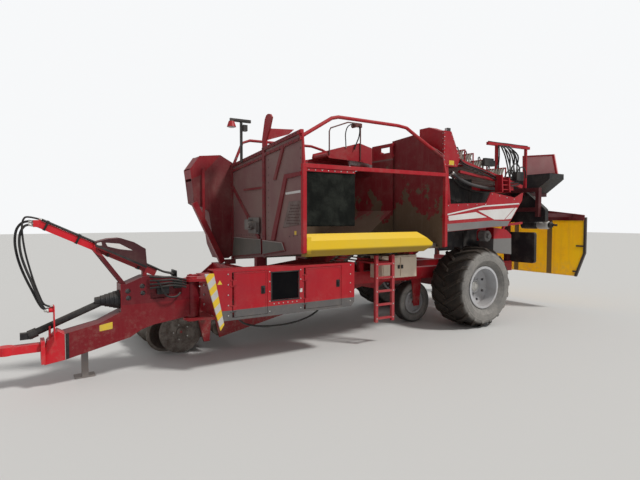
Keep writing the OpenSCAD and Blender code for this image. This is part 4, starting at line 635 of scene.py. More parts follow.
dress(field_paint("roller_pale", (0.42, 0.41, 0.39), (0.36, 0.34, 0.31), rough=0.55), "table_rollers")
motor_body = [(0.050, 0.0), (0.070, 0.015), (0.080, 0.050), (0.084, 0.080), (0.084, 0.215), (0.074, 0.245),
              (0.060, 0.258), (0.045, 0.262)]
motor_sleeve = [(0.050, -0.350), (0.078, -0.335), (0.082, -0.250), (0.076, -0.240), (0.082, -0.225),
                (0.082, -0.020), (0.060, 0.004)]
motor_cap = [(0.040, 0.256), (0.064, 0.262), (0.066, 0.300), (0.050, 0.318), (0.022, 0.324), (0.020, 0.410),
             (0.012, 0.420)]
motor_seat = from_axle((-2.200, 0.960, 1.735))
motor_pipe = bar([(-1.990, 1.120, 1.800), (-2.080, 1.120, 1.790), (-2.200, 1.120, 1.740)], 0.018, 10)
motor_white = field_paint("motor_white", (0.56, 0.56, 0.53), (0.46, 0.45, 0.43), dust=0.3, rough=0.4)
piece("side_motor", [turned(motor_body, motor_seat, leftward), motor_pipe], motor_white, "chassis")
piece("side_motor_ends", [turned(end, motor_seat, leftward) for end in (motor_sleeve, motor_cap)],
      black_shell, "chassis")
finger_height = 0.215
finger_y = np.linspace(0.50, 1.16, 12)
finger_feet = [(x, table_z(x)) for x in (-0.82, -0.30, 0.06, 0.27)]


def fingers(x, z):
    """A row of six-sided rubber fingers: one hangs from the bar at each finger_y, bowed and leaning
    forward, on a line through its foot, its middle and its tip."""
    foot = from_axle([(x, y, z + finger_height) for y in finger_y])
    tip = foot + (0.045, 0.0, 0.03 - finger_height)
    middle = (foot + tip) / 2 + (0.016, 0, 0)
    return [tube(np.stack(finger), (0.022, 0.021, 0.013), 6) for finger in zip(foot, middle, tip)]


def finger_bar(x, z, y0, y1, radius, sides=8):
    """A bar across the table over the rails at (x, z), from y0 to y1, at the fingers' height."""
    return bar([(x, y0, z + finger_height + 0.005), (x, y1, z + finger_height + 0.005)], radius, sides)


finger_bars = [finger_bar(x, z, 0.468, 1.192, 0.014, 10) for x, z in finger_feet]
finger_bars += [bar([(x, y, z + 0.02), (x, y, z + finger_height + 0.015)], 0.012)
                for x, z in finger_feet for y in (0.445, 1.215)]
finger_bars += [finger_bar(x, z, y, y + 0.03, 0.012) for x, z in finger_feet for y in (0.442, 1.188)]
piece("finger_bars", finger_bars, frame_red, "chassis")
finger_rubber = rubber_like("finger_rubber", (0.50, 0.47, 0.40), (0.42, 0.36, 0.28), rough=0.6, dusting=0.4)
piece("sorting_fingers", [finger for x, z in finger_feet for finger in fingers(x, z)], finger_rubber,
      "chassis")


def cable(points, radius, sides=7, parts=4):
    """A cable or small hose tied along the frame, on a smooth line through its points."""
    return tube(smooth_line(from_axle(points), parts), radius, sides)


rail_cables = [
    cable([(-1.90, 0.905, 3.296), (-1.60, 0.90, 3.294), (-1.30, 0.905, 3.296), (-1.02, 0.90, 3.294),
           (-0.72, 0.905, 3.296)], 0.011),
    cable([(-0.98, 0.945, 3.24), (-0.985, 0.95, 3.05), (-0.975, 0.945, 2.85), (-0.98, 0.95, 2.62),
           (-0.985, 0.948, 2.47)], 0.010),
    cable([(-0.955, 0.945, 3.24), (-0.948, 0.955, 3.0), (-0.96, 0.95, 2.8), (-0.95, 0.955, 2.6),
           (-0.945, 0.95, 2.47)], 0.008)]
hose_drops = [
    cable([(-1.02 - top, 0.950, 3.240), (-1.03 - top - bow, 1.000 + bow, 3.060),
           (-1.02 - top - bow, 1.085, 2.860), (-0.98 - top, 1.165, 2.700),
           (-0.93 - low, 1.225, 2.580)], 0.014, 8)
    for top, bow, low in ((0.00, 0.02, 0.02), (0.04, 0.06, -0.02), (0.09, 0.01, 0.12), (0.13, 0.08, 0.05),
                          (0.18, 0.03, 0.20), (0.22, 0.09, 0.14), (0.27, 0.04, 0.26))]
hose_arcs = [
    cable([(-1.24 + shift, 1.232, 2.62), (-1.20 + shift, 1.240, 2.72 + rise),
           (-1.10 + shift, 1.242, 2.78 + rise), (-0.99 + shift, 1.238, 2.71 + rise),
           (-0.93 + shift, 1.234, 2.58)], 0.012, 8)
    for shift, rise in ((-0.16, 0.04), (0.02, 0.09), (0.17, -0.02))]
finger_wires = [
    cable([(x - 0.09, y - 0.06, z + 0.235), (x - 0.03, y - 0.03, z + 0.285), (x + 0.03, y, z + 0.275),
           (x + 0.10, y + 0.05, z + 0.235), (x + 0.13, y + 0.09, z + 0.17)], 0.010, 6)
    for x, z in finger_feet for y in (0.62, 0.86, 1.06)]
side_cables = [
    cable([(-1.18, 1.225, 2.53), (-0.90, 1.258, 2.515), (-0.60, 1.262, 2.56), (-0.30, 1.260, 2.66),
           (0.02, 1.258, 2.72), (0.30, 1.255, 2.78), (0.42, 1.252, 2.85)], 0.013),
    cable([(-1.18, 1.25, 2.50), (-0.90, 1.272, 2.455), (-0.60, 1.274, 2.52), (-0.30, 1.272, 2.60),
           (0.02, 1.270, 2.69), (0.28, 1.266, 2.735), (0.44, 1.256, 2.80)], 0.011)]
piece("table_cables", rail_cables + hose_drops + hose_arcs + finger_wires + side_cables, hose_rubber,
      "chassis")
duct_rubber = rubber_like("duct_rubber", (0.075, 0.075, 0.078), (0.20, 0.18, 0.16), rough=0.5, grain=140.0,
                          relief=0.0004, dusting=0.3, rounding=0)
free_hose("recess_duct", [
    (0.52, 1.150, 2.640), (0.44, 1.160, 2.600), (0.28, 1.165, 2.520), (0.05, 1.165, 2.455),
    (-0.20, 1.165, 2.420), (-0.46, 1.160, 2.402), (-0.70, 1.150, 2.405), (-0.90, 1.140, 2.425)],
          "chassis", 0.056, duct_rubber)
free_hose("recess_hose", [
    (0.50, 1.090, 2.620), (0.38, 1.080, 2.540), (0.20, 1.075, 2.430), (-0.05, 1.075, 2.370),
    (-0.30, 1.075, 2.345), (-0.60, 1.070, 2.350), (-0.88, 1.065, 2.395)], "chassis", 0.028)
piece("table_valves", [
    block(-0.420, -0.140, 2.780, 2.880, 0.012, "Y", 1.228, 1.300),
    block(-0.400, -0.160, 2.872, 2.915, 0.008, "Y", 1.240, 1.285),
    block(-1.220, -1.020, 2.560, 2.720, 0.015, "Y", 1.226, 1.310),
], black_shell, "chassis")


def hanging(width_share, drop_share, waves, depth, lean=0.0):
    """How far a hung sheet stands off its plane: depth (0.15 + 0.85 drop) (sin(waves a + 0.6)
    + 0.5 sin(2.3 waves a + 3 drop)) / 1.5 + lean drop, with a the way across in turns."""
    a = 2 * math.pi * width_share
    fold = np.sin(waves * a + 0.6) + 0.5 * np.sin(2.3 * waves * a + 3.0 * drop_share)
    return depth * (0.15 + 0.85 * drop_share) * fold / 1.5 + lean * drop_share


def thicken(made, thickness):
    """Gives a sheet its thickness, half to each side."""
    wall = made.modifiers.new("thickness", "SOLIDIFY")
    wall.thickness = thickness
    wall.offset = 0.0
    return wall


def sheet_piece(name, grid, finish, body, thickness):
    """A sheet over a grid of points (down, across, 3), thickened evenly on both sides."""
    down, across = grid.shape[:2]
    made = piece(name, [(grid.reshape(-1, 3), [grid_faces(down, across, False)])], finish, body)
    thicken(made, thickness).use_even_offset = True
    return made


def share_grid(down, across):
    """Shares 0 to 1 down and across, one for each point of a grid."""
    return np.meshgrid(np.linspace(0, 1, down), np.linspace(0, 1, across), indexing="ij")


def side_hung(down, across, rear, front, top, low, plane, waves, depth, lean=0.0, scallop=0.0):
    """Grid of a sheet that hangs across Y at this plane, from rear to front and from top to low. Its hem is
    drawn up by scallop |sin(3 pi u)| of the drop, with u the way across."""
    v, u = share_grid(down, across)
    hem = 1.0 - scallop * np.abs(np.sin(3 * math.pi * u))
    return np.stack([rear + (front - rear) * u, plane + hanging(u, v, waves, depth, lean),
                     top - (top - low) * v * hem], -1)


skirt_rubber = rubber_like("skirt_rubber", (0.013, 0.013, 0.014), (0.12, 0.105, 0.09), rough=0.6, grain=90.0,
                           dusting=0.4, rounding=0)
# Painted shade: a black sheet inboard, behind the side panels, that fills the dark inside of the machine and
# its shade.
side_grid = side_hung(20, 70, -3.120, -1.585, 2.385, 1.850, 0.585, 6.0, 0.008)
inboard_shade_cloth = sheet_piece("inboard_shade_sheet", side_grid, skirt_rubber, "chassis", 0.004)
deck_grid = side_hung(24, 90, -2.078, -1.007, 2.558, 2.133, 1.004, 7.0, 0.012, lean=0.012, scallop=0.10)
deck_cloth = sheet_piece("deck_skirt", deck_grid, skirt_rubber, "chassis", 0.004)
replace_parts(deck_cloth, "deck_sheet")

# The tall hood over the head of the sorting belt: bent red sheet with rows of
# small bolts, a lamp on top and a blank yellow plate on its side.
dress(field_paint("hood_red", dust=0.26), "elevator_head")
piece("hood_bolts", [
    bolt_runs("Y", 1.2402, [(0.785, 2.76, 0.785, 3.26, 9), (0.52, 2.75, 0.76, 2.75, 4),
                            (0.44, 2.88, 0.62, 3.24, 6)], 0.008),
    bolt_runs("X", 0.8002, [(0.72, 2.76, 1.22, 2.76, 7), (1.222, 2.82, 1.222, 3.26, 6)], 0.008),
], zinc, "chassis")
label_yellow = field_paint("label_yellow", (0.72, 0.50, 0.03), (0.66, 0.47, 0.06), dust=0.2, rough=0.3)
piece("hood_label", [block(0.555, 0.672, 2.748, 2.822, 0.008, "Y", 1.2398, 1.2412)], label_yellow,
      "chassis")

# The bunker: folded steel walls with welded ribs and rows of bolts, dusty inside
# and out, a sloping nose at the right, and a grey foot; the ribs keep the darker
# maroon. Inside, the red paint and the caked soil are darkened with painted shade.
wall_mauve = (0.200, 0.098, 0.098)
wall_tan = (0.225, 0.140, 0.128)
rib_maroon = (0.185, 0.018, 0.024)
# Inner colours: the red paint and the soil caked inside, both darkened as painted shade of the interior.
inner_red_in_shade = (0.20, 0.012, 0.018)
inner_soil_in_shade = (0.13, 0.088, 0.055)
rim_z = 2.93


def within_bunker(f):
    """1 behind the front wall, left of the right wall, ahead of the rear wall and below the arch."""
    return f.where((1.600, f.x), (f.y, -1.09), (f.x, -0.935), (2.9, f.z))


def within_head(f):
    """1 between the front and rear walls of the unloading end."""
    return f.where((1.660, f.x), (f.x, -0.935))


def caked(f):
    """1 where soil cakes the inner walls: low down, with a torn upper edge."""
    torn = f.noise(2.4, detail=6.0, rough=0.7, low=0.35, high=0.75)
    return f.beyond(f.plus(f.spread(f.z, 2.75, 1.35), torn), 0.78)


wall_look = {"dust": 0.40, "dust_colour": (0.30, 0.225, 0.19), "rough": 0.55}
dress(field_paint("bunker_paint", wall_mauve, wall_tan, **wall_look, zones=[
    (rib_maroon, lambda f: f.larger(f.beyond(f.x, 1.6115), f.beyond(-1.101, f.y))),
    (inner_red_in_shade, within_bunker),
    (inner_soil_in_shade, lambda f: f.times(within_bunker(f), caked(f))),
    (faded_red, lambda f: f.beyond(f.z, rim_z)),
]), "bunker_walls")
dress(field_paint("nose_red", (0.26, 0.008, 0.015), (0.27, 0.02, 0.028), dust=0.22), "bunker_nose")
dress(field_paint("bay_maroon", (0.16, 0.014, 0.020), (0.19, 0.05, 0.05), dust=0.30, rough=0.5), "nose_bay")
# The fill plate inside takes the same red, darkened as painted shade.
piece("fill_plate", [block(-1.085, -0.300, 2.600, 2.800, 0.01, "X", 0.9845, 0.9885)],
      field_paint("inner_paint", inner_red_in_shade, (0.17, 0.02, 0.022), dust=0.2), "chassis")
wall_bolt = field_paint("bolt_dark", (0.10, 0.055, 0.05), (0.14, 0.09, 0.08), dust=0.3)
wall_rib, wall_sheet = 3.5525, 3.5305
piece("wall_bolts", [
    bolt_runs("X", wall_rib, [
        (-1.04, 2.775, 0.22, 2.885, 15), (-1.00, 2.694, 0.17, 2.796, 9), (-1.06, 2.60, -1.06, 1.30, 14),
        (0.225, 2.70, 0.225, 1.65, 11), (-0.98, 2.376, -0.40, 1.911, 6)], 0.010, 0.007),
    bolt_runs("X", wall_sheet, [
        (-0.97, 2.62, -0.97, 1.66, 11), (0.15, 2.66, 0.15, 1.64, 11), (-0.90, 1.585, 0.08, 1.60, 10)]),
], wall_bolt, "chassis")
foot_seat = wall_rib - 0.0005
foot_grey = field_paint("foot_grey", (0.105, 0.105, 0.095), (0.135, 0.125, 0.11), dust=0.35, rough=0.5)
pale_edge = field_paint("pale_edge", (0.42, 0.40, 0.38), (0.36, 0.33, 0.31), dust=0.3)
piece("wall_foot", [cut([(-1.030, 1.212), (0.108, 1.328), (0.093, 1.538), (-0.968, 1.536)], 0.01,
                        "X", foot_seat, 3.555)], foot_grey, "chassis")
piece("wall_foot_edge", [
    plate([(-0.974, 1.5375), (0.098, 1.5395), (0.098, 1.5475), (-0.978, 1.5455)], "X", foot_seat, 3.5565),
    plate([(0.104, 1.325), (0.112, 1.325), (0.104, 1.545), (0.096, 1.545)], "X", foot_seat, 3.5565),
], pale_edge, "chassis")

# The unloading end: a wall at each end, open to the left between a red tube
# frame, with a yellow sill, a black rubber curtain and an arch of tube above.
def head_tubes(f):
    """1 on the red tubes: left of the walls, and on the arch above them."""
    return f.larger(f.beyond(f.y, 1.4305), f.where((f.z, rim_z), (f.y, 1.36)))


# Inside the head, the red and the soil are darkened as painted shade, as in the bunker.
dress(field_paint("head_paint", wall_mauve, wall_tan, **wall_look, zones=[
    (rib_maroon, lambda f: f.larger(f.beyond(f.x, 1.6685), f.beyond(-0.9425, f.x))),
    (inner_red_in_shade, within_head),
    (inner_soil_in_shade, lambda f: f.times(within_head(f), caked(f))),
    (bright_red, head_tubes),
]), "head_frame")
# Painted shade: from z = 1.475 down to 1.430 the sill darkens to brown on its underside.
sill_paint = field_paint("sill_yellow", (0.80, 0.52, 0.015), (0.76, 0.52, 0.035), dust=0.12, mud=0.1,
                         rough=0.34, zones=[((0.30, 0.19, 0.010), lambda f: f.spread(f.z, 1.475, 1.430))])
dress(sill_paint, "head_sill")
dress(worn_steel("grille_steel", (0.20, 0.16, 0.15), (0.13, 0.08, 0.07), rough=0.6, metallic=0.3),
      "head_grille")


def head_rim(y):
    """Height of the front wall's top at y."""
    return 2.795 + 0.087 * (y + 1.100)


head_rib, head_sheet = 3.6095, 3.5875
rim_runs = [(y0, head_rim(y0) - drop, y1, head_rim(y1) - drop, count)
            for y0, y1, drop, count in ((0.33, 1.40, 0.025, 13), (0.42, 1.38, 0.115, 8))]
piece("head_bolts", [
    bolt_runs("X", head_rib, rim_runs + [(0.33, 2.70, 0.33, 1.60, 12)], 0.010, 0.007),
    bolt_runs("X", head_sheet, [(0.46, 2.72, 0.46, 1.62, 11), (1.405, 2.78, 1.405, 2.52, 3),
                                (1.10, 1.62, 1.41, 1.66, 4), (1.415, 1.68, 1.415, 1.78, 2)]),
], wall_bolt, "bunker_head")
head_seat, label_seat = head_rib - 0.0005, head_sheet - 0.0005
piece("head_foot", [cut([(0.300, 1.332), (0.978, 1.430), (0.906, 1.522), (0.300, 1.530)], 0.01,
                        "X", head_seat, 3.612)], foot_grey, "bunker_head")
piece("head_foot_edge", [
    plate([(0.292, 1.532), (0.914, 1.524), (0.921, 1.533), (0.292, 1.542)], "X", head_seat, 3.6135),
    plate([(0.985, 1.430), (0.996, 1.422), (0.921, 1.533), (0.911, 1.524)], "X", head_seat, 3.6135),
], pale_edge, "bunker_head")
label_white = field_paint("label_white", (0.66, 0.66, 0.65), (0.60, 0.60, 0.58), dust=0.25, rough=0.3)
piece("head_label", [cut([(0.985, 2.190), (1.400, 2.203), (1.400, 2.236), (0.985, 2.223)], 0.005,
                         "X", label_seat, 3.5885)], label_white, "bunker_head")
piece("head_marks", [block(1.235, 1.290, 1.648, 1.700, 0.005, "X", label_seat, 3.5885)], label_yellow,
      "bunker_head")
mouth_grid = side_hung(30, 80, 0.842, 1.625, 2.520, 1.762, 1.4625, 3.0, 0.007)
mouth_black = rubber_like("mouth_black", (0.006, 0.007, 0.006), (0.060, 0.066, 0.055), rough=0.85, grain=90.0,
                          dusting=0.5, rounding=0, gloss=0.1)
mouth_cloth = sheet_piece("mouth_rubber", mouth_grid, mouth_black, "bunker_head", 0.005)
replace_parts(mouth_cloth, "mouth_curtain")
strip_front = 1.4785
piece("mouth_strip", [block(2.765, 3.545, 2.478, 2.518, 0.006, "Y", 1.4715, strip_front)],
      field_paint("strip_red", dust=0.3), "bunker_head")
piece("mouth_strip_bolts", [bolt_runs("Y", strip_front, [(2.80, 2.498, 3.51, 2.498, 8)])], zinc,
      "bunker_head")
piece("sill_end", [block(3.48, 3.545, 1.400, 1.625, 0.01, "Y", 1.4895, 1.4925)], sill_paint,
      "bunker_head")

# The filling belt over the bunker: red side sheets round a belt with cleats,
# lowered by a cylinder, with a guard rail of dark tube and its hoses.
dress(field_paint("belt_frame_red", (0.36, 0.012, 0.020), (0.38, 0.03, 0.04), dust=0.34), "filling_conveyor")
dress(field_paint("rail_dark", (0.12, 0.035, 0.035), (0.16, 0.06, 0.055), dust=0.4), "conveyor_rails")
piece("belt_hoses", [
    cable([(1.25, -0.452, 3.60), (1.24, -0.445, 3.50), (1.26, -0.450, 3.38), (1.31, -0.452, 3.27),
           (1.36, -0.455, 3.15)], 0.012),
], hose_rubber, "filling_belt")
free_hose("belt_bow", [
    (1.33, -0.440, 3.60), (1.42, -0.430, 3.61), (1.52, -0.445, 3.55), (1.56, -0.455, 3.42),
    (1.55, -0.462, 3.28), (1.54, -0.470, 3.17)], "filling_belt", 0.020)

# The lower left side: red panels with a grey foot round a screened window,
# two hinged doors with flush latches, a striped corner board, a ladder and
# a beige service box.
skirt_zones = [((0.11, 0.105, 0.105), lambda f: f.beyond(0.763, f.z))]
skirt_seat, label_back, skirt_face = 1.4195, 1.4198, 1.4202
dress(field_paint("skirt_red", dust=0.12, mud=0.40, zones=skirt_zones),
      "side_skirt", "skirt_door_front", "skirt_door_rear")
screen_black = rubber_like("screen_black", (0.004, 0.004, 0.005), (0.02, 0.018, 0.016), rough=0.9,
                           grain=220.0, dusting=0.2, gloss=0.05)
piece("window_screen", [block(3.6345, 4.0145, 0.8355, 1.1795, 0.004, "Y", 1.4102, 1.4122)], screen_black,
      "chassis")
border = 0.016
piece("window_border", [
    *[plate(box_outline(3.618, 4.031, z, z + border), "Y", skirt_seat, 1.4225) for z in (1.180, 0.819)],
    *[plate(box_outline(x, x + border, 0.819, 1.196), "Y", skirt_seat, 1.4222) for x in (3.618, 4.015)],
], black_shell, "chassis")
piece("skirt_bolts", [bolt_runs("Y", skirt_face, [
    (3.66, 0.790, 3.99, 0.790, 6),
    *[(x, top, x, top - 0.50, 5) for x, top in ((3.60, 1.20), (4.05, 1.20), (4.60, 1.20), (2.80, 1.22))]])],
      zinc, "chassis")
latch_grip = ((1.424, 0.945), (1.437, 0.955), (1.437, 1.005), (1.424, 1.015))
for door, left, right in (("front", 4.085, 4.523), ("rear", 2.955, 3.523)):
    latch_x = left + 0.055
    piece("latch_" + door, [
        block(latch_x - 0.028, latch_x + 0.028, 0.93, 1.03, 0.012, "Y", skirt_seat, 1.4245),
        bar([(latch_x, y, z) for y, z in latch_grip], 0.006),
    ], black_shell, "door_" + door)
    folds = ((left + 0.012, right - 0.012, 1.196, 1.204), (left + 0.012, left + 0.020, 0.69, 1.20),
             (right - 0.020, right - 0.012, 0.69, 1.20))
    fold_red = field_paint("fold_red_" + door, (0.33, 0.010, 0.018), dust=0.1, zones=skirt_zones)
    piece("door_fold_" + door, [plate(box_outline(*fold), "Y", skirt_seat, 1.4215) for fold in folds],
          fold_red, "door_" + door)
piece("skirt_triangle", [cut([(4.672, 1.083), (4.736, 1.083), (4.704, 1.138)], 0.008,
                             "Y", label_back, 1.4212)], label_yellow, "chassis")
piece("skirt_sticker", [block(3.575, 3.612, 0.905, 0.955, 0.006, "Y", label_back, 1.4210)],
      label_white, "chassis")
board = Finish("board_stripes")
stripes_to_metre = 5.2
slanted = board.times(board.plus(board.x, board.z, clamp=False), stripes_to_metre, clamp=False)
stripe = board.beyond(board.maths("FRACT", slanted), 0.5)
board_dust = board.noise(12.0, detail=7.0, rough=0.75, low=0.42, high=0.74)
board_colour = board.mix(stripe, (0.74, 0.50, 0.03), (0.52, 0.51, 0.49))
board_colour = board.mix(board.times(board_dust, 0.35), board_colour, soil_tan)
dress(board.done(board_colour, 0.5, board.noise(60.0, low=0.4, high=0.7), 0.0005), "warning_board")
dress(field_paint("ladder_red", (0.38, 0.018, 0.028), (0.36, 0.04, 0.05), dust=0.25, mud=0.5), "ladder")
dress(field_paint("service_beige", (0.76, 0.66, 0.53), (0.68, 0.56, 0.44), dust=0.25, mud=0.3, rough=0.6),
      "service_box")
piece("box_latches", [
    block(x - 0.02, x + 0.02, 1.06, 1.12, 0.008, "Y", 1.0118, 1.022) for x in (1.48, 1.55)
], black_shell, "chassis")
piece("ladder_bolts", [bolt_runs("Y", 1.3802, [(x, 0.395, x, 1.195, 5) for x in (1.98, 2.29)], 0.010)],
      zinc, "side_ladder")

# The drawbar: a welded box beam, darkened with painted shade where the bunker's
# shadow falls and bright at its front with painted sunlight, with the arm for
# the hoses, the ribbed guard of the drive shaft and the stand.
# Painted sunlight: a brighter red for the sunlit front of the beam and of the arm.
painted_sunlit_red = (0.62, 0.012, 0.024)
# Painted shade: the beam's red is darkened for the bunker's shadow, and its tall rear part above z = 0.86 and
# behind x = 3.79 is darker still; beyond x = 4.38 its front takes painted sunlight.
dress(field_paint("beam_red", (0.18, 0.004, 0.010), (0.17, 0.007, 0.013), dust=0.12, mud=0.3, zones=[
    (painted_sunlit_red, lambda f: f.beyond(f.x, 4.38)),
    ((0.13, 0.004, 0.010), lambda f: f.where((f.z, 0.86), (3.79, f.x)))]), "drawbar")
arm_y = 0.800


def sloped(f, slope):
    """x slope - z, in metres."""
    return f.minus(f.times(f.x, slope, clamp=False), f.z, clamp=False)


def cover_part(f):
    """1 on the tool cover: above its sloping foot, behind x = 4.10, and off the arm's middle."""
    from_middle = f.maths("ABSOLUTE", f.minus(f.y, arm_y, clamp=False), clamp=False)
    return f.where((0.4895, sloped(f, 0.507)), (from_middle, 0.0365), (4.10, f.x))


def brace_part(f):
    """1 on the brace below the arm."""
    return f.where((sloped(f, 0.4967), 0.545), (f.x, 3.55))


# The arm's front beyond x = 4.05 takes the same painted sunlight.
dress(field_paint("arm_red", (0.26, 0.007, 0.014), (0.27, 0.018, 0.025), dust=0.14, zones=[
    (painted_sunlit_red, lambda f: f.beyond(f.x, 4.05)),
    ((0.055, 0.012, 0.016), cover_part),
    ((0.10, 0.005, 0.010), brace_part)]), "hose_arm")
cover_side, beam_side = 0.9145, 0.9298
piece("cover_patches", [
    cut([(5.575, 1.492), (5.720, 1.575), (5.870, 1.592), (5.850, 1.548), (5.720, 1.512)], 0.01,
        "Y", cover_side, 0.9165),
    cut([(5.905, 1.560), (5.965, 1.562), (5.960, 1.590), (5.912, 1.600)], 0.006, "Y", cover_side, 0.9165),
], decal_white, "drawbar_unit")
piece("cover_base", [
    cut([(5.425, 1.275), (5.980, 1.556), (5.975, 1.578), (5.420, 1.300)], 0.006, "Y", 0.9185, 0.9215),
], hose_rubber, "drawbar_unit")
dress(black_shell, "pto_shaft")
dress(field_paint("stand_grey", (0.20, 0.19, 0.19), (0.26, 0.24, 0.23)), "parking_stand")
dress(field_paint("cylinder_maroon", (0.24, 0.012, 0.018), (0.28, 0.03, 0.036), dust=0.35),
      "steering_barrel")
dress(worn_steel("rod_chrome", (0.66, 0.67, 0.68), (0.35, 0.33, 0.30), share=0.1, rough=0.16, metallic=1.0),
      "steering_rod")
seam_black = rubber_like("seam_black", (0.012, 0.012, 0.013), (0.10, 0.09, 0.08), rough=0.4, dusting=0.3)
piece("beam_seam", [plate([(6.262, 0.328), (6.262, 0.608), (6.296, 0.602), (6.296, 0.320)],
                          "Y", beam_side, 0.9330)], seam_black, "drawbar_unit")
piece("beam_seam_edge", [plate([(6.296, 0.320), (6.296, 0.602), (6.303, 0.601), (6.303, 0.318)],
                               "Y", 0.9295, 0.9325)], pale_edge, "drawbar_unit")
piece("beam_label", [cut([(5.814, 0.600), (5.953, 0.585), (5.953, 0.655), (5.814, 0.680)], 0.008,
                         "Y", beam_side, 0.9310)], label_yellow, "drawbar_unit")
arm_low, arm_high = np.array((5.300, 1.204)), np.array((6.530, 1.815))
arm_length = np.linalg.norm(arm_high - arm_low)
arm_along = (arm_high - arm_low) / arm_length
arm_above = np.array((-arm_along[1], arm_along[0]))


def along_arm(share, lift, y):
    """A place beside the hose arm: low end + share of its length + lift square above its middle line."""
    x, z = arm_low + share * (arm_high - arm_low) + lift * arm_above
    return (x, y, z)


def arm_clip(share, width=0.022):
    """A band round the arm and its hoses: one ring of places at the share of the length, one a width on."""
    ring = rounded(box_outline(0.738, 0.862, -0.045, 0.072), 0.012)
    rings = [[along_arm(at, lift, y) for y, lift in ring] for at in (share, share + width / arm_length)]
    return ringed(from_axle(rings))


hose_shifts = (-0.046, -0.018, 0.012, 0.040)
bulkhead_front, bulkhead_fan, bulkhead_z = 5.074, 1.6, 1.178
fanned = ((5.075, bulkhead_fan, bulkhead_z), (5.12, 1.5, 1.190), (5.20, 1.2, 1.212))
arm_hoses = []
for shift, lift, radius in zip(hose_shifts, (0.054, 0.055, 0.054, 0.053), (0.013, 0.013, 0.012, 0.011)):
    line = [(x, arm_y + shift * fan, z) for x, fan, z in fanned]
    line += [along_arm(share, lift, arm_y + shift) for share in (0.06, 0.25, 0.45, 0.65, 0.85, 0.985)]
    arm_hoses.append(cable(line, radius, 8))
piece("arm_hoses", arm_hoses, hose_rubber, "drawbar_unit")
bulkhead_nut = [(0.016, 0.0), (0.020, 0.003), (0.020, 0.020), (0.014, 0.024)]
piece("hose_bulkhead", [
    block(0.690, 0.910, 1.100, 1.225, 0.012, "X", 5.062, bulkhead_front),
    plate(box_outline(0.700, 0.900, 1.118, 1.132), "X", 5.045, 5.110),
    *[turned(bulkhead_nut, from_axle((bulkhead_front, arm_y + shift * bulkhead_fan, bulkhead_z)), forward, 10)
      for shift in hose_shifts],
], seam_black, "drawbar_unit")
piece("arm_clips", [arm_clip(share) for share in (0.15, 0.42, 0.68, 0.93)], seam_black, "drawbar_unit")
free_hose("signal_cable", [
    along_arm(0.985, 0.054, 0.812), (6.600, 0.815, 1.882), (6.650, 0.822, 1.870), (6.672, 0.832, 1.790),
    (6.668, 0.848, 1.660), (6.648, 0.866, 1.500), (6.612, 0.884, 1.330), (6.575, 0.900, 1.180),
    (6.535, 0.915, 1.050), (6.500, 0.922, 0.960), (6.455, 0.923, 0.925), (6.410, 0.920, 0.915)],
          "drawbar_unit", 0.020, sleeve_length=0.03)
beam_lines = [
    cable([(5.40, 0.965, 1.04 + 0.045 * k), (5.30, 0.992 + 0.010 * k, 1.05 + 0.040 * k),
           (5.16, 1.000, 1.06 + 0.034 * k), (5.05, 0.990, 1.045 + 0.030 * k),
           (4.97, 0.968, 1.02 + 0.030 * k)], 0.012, 8) for k in range(4)]
beam_lines.append(cable([(5.36, 0.965, 1.14), (5.30, 1.000, 1.10), (5.26, 1.012, 1.00), (5.20, 1.010, 0.93),
                         (5.10, 0.995, 0.92), (5.04, 0.968, 0.96)], 0.011, 8))
piece("beam_lines", beam_lines, hose_rubber, "drawbar_unit")
piece("beam_valves", [block(5.180, 5.320, 0.960, 1.060, 0.010, "Y", 0.930, 0.985),
                      block(5.020, 5.120, 1.020, 1.120, 0.010, "Y", 0.930, 0.980)],
      seam_black, "drawbar_unit")
coupler = [(0.020, 0.0), (0.024, 0.004), (0.024, 0.018), (0.015, 0.022), (0.015, 0.030)]
piece("rack_couplers", [turned(coupler, from_axle((6.450, y, 0.880)), forward, 12) for y in (0.890, 0.955)],
      zinc, "drawbar_unit")

# The rear curtain: a woven, coated orange sheet with sewn pockets for upright
# slats, laced in a dark bent tube frame that hangs from two pins; the pockets are
# painted brown as painted shade of the slats seen through the sheet.
dress(field_paint("curtain_dark", (0.045, 0.040, 0.040), (0.07, 0.06, 0.055), dust=0.45, rough=0.5),
      "curtain_frame")
tarp = Finish("curtain_orange")
thread = 0.004
warp, weft = (tarp.maths("PINGPONG", at, thread, clamp=False) for at in (tarp.y, tarp.z))
weave = tarp.plus(tarp.times(warp, 0.5 / thread), tarp.times(weft, 0.5 / thread))
stain = tarp.noise(2.2, detail=7.0, rough=0.72, low=0.40, high=0.72)
drips = tarp.noise(1.0, detail=6.0, rough=0.7, at=tarp.stretched((9.0, 9.0, 0.8)), low=0.46, high=0.76)
low_soil = tarp.noise(8.0, detail=7.0, rough=0.8, low=0.42, high=0.66)
low_soil = tarp.times(tarp.spread(tarp.z, 1.10, 0.66), low_soil)
tarp_colour = tarp.mix(stain, (0.92, 0.50, 0.012), (0.82, 0.42, 0.02))
tarp_colour = tarp.mix(tarp.times(drips, 0.35), tarp_colour, (0.50, 0.27, 0.05))
tarp_colour = tarp.mix(tarp.times(low_soil, 0.5), tarp_colour, soil_tan)
tarp_look = tarp.done(tarp_colour, 0.55, weave, 0.0006, rounding=0)
for socket, value in (("Subsurface Weight", 0.85), ("Subsurface Radius", (1.0, 0.62, 0.12)),
                      ("Subsurface Scale", 0.02)):
    tarp.shader.inputs[socket].default_value = value
tarp_top, tarp_drop, tarp_middle, tarp_waves, tarp_depth = 1.838, 1.166, 0.010, 3.2, 0.006


def tarp_half(v):
    """Half the sheet's width at the share v of its drop: even down to the frame's bend, then drawn in."""
    return 1.428 - 0.178 * np.clip((v - 0.575) / 0.425, 0.0, 1.0)


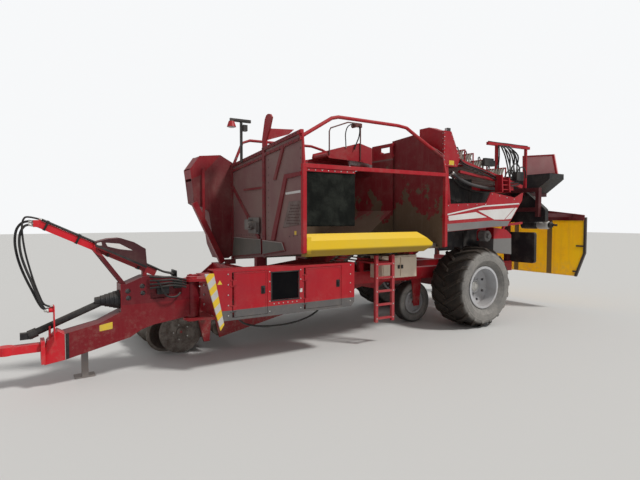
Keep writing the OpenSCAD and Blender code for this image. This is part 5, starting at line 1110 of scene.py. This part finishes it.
v, u = share_grid(41, 120)
tarp_y = tarp_middle + tarp_half(v) * (2 * u - 1)
tarp_grid = np.stack([-4.964 + hanging(u, v, tarp_waves, tarp_depth), tarp_y, tarp_top - tarp_drop * v], -1)
tarp_cloth = sheet_piece("rear_tarp", tarp_grid, tarp_look, "curtain", 0.003)
# Painted shade: the slat pockets are brown for the slats' shadow seen through the sheet.
slat_shade_brown = field_paint("slat_shade_brown", (0.26, 0.15, 0.045), (0.22, 0.13, 0.05), dust=0.3, rough=0.55)
slat_half, slat_inset, slat_swell = 0.055, 0.01, 0.006


def slat(middle):
    """A slat's pocket: it follows the sheet's folds, and swells by slat_swell root(1 - a^2), with a from
    -1 to 1 across it."""
    v, u = share_grid(30, 9)
    a = 2 * u - 1
    y = middle + slat_half * a
    across = ((y - tarp_middle) / tarp_half(v) + 1) / 2
    x = -4.9605 + hanging(across, v, tarp_waves, tarp_depth) + slat_swell * np.sqrt(1 - a ** 2)
    z = tarp_top - slat_inset - (tarp_drop - 2 * slat_inset) * v
    return np.stack([x, y, z], -1).reshape(-1, 3), [grid_faces(30, 9, False)]


tarp_slats = piece("tarp_slats", [slat(y) for y in (-0.92, -0.11, 0.70)], slat_shade_brown, "curtain")
thicken(tarp_slats, 0.004)
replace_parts(tarp_cloth, "rear_curtain")

# The lamps: a red bell on a thin arm over the front wall and a black work
# lamp on the hood, with clear lenses and their cables.
dress(field_paint("lamp_dark", (0.035, 0.033, 0.034), (0.055, 0.05, 0.05), dust=0.35, zones=[
    (bright_red, lambda f: f.where((f.x, 1.735), (3.4405, f.z)))]), "work_lamps")
lens = Finish("lamp_lens")
lens_rings = lens.maths("PINGPONG", lens.x, 0.006, clamp=False)
lens_colour = lens.mix(lens.noise(30.0, low=0.45, high=0.7), (0.70, 0.72, 0.74), (0.50, 0.48, 0.44))
piece("lamp_lenses", [
    turned([(0.066, 0.0), (0.066, 0.004), (0.050, 0.010), (0.020, 0.012)],
           from_axle((3.735, -0.580, 3.350)), (0, 0, -1)),
    turned([(0.024, 0.0), (0.024, 0.004), (0.016, 0.008)], from_axle((0.710, 1.204, 3.325)), forward),
], lens.done(lens_colour, 0.18, lens_rings, 0.002, rounding=0), "chassis")
piece("lamp_cables", [
    cable([(3.575, -0.548, 3.43), (3.580, -0.545, 3.20), (3.574, -0.548, 3.0), (3.578, -0.546, 2.84)], 0.006),
    cable([(3.70, -0.556, 3.455), (3.60, -0.553, 3.452), (3.50, -0.556, 3.455), (3.44, -0.56, 3.44)], 0.006),
], hose_rubber, "chassis")
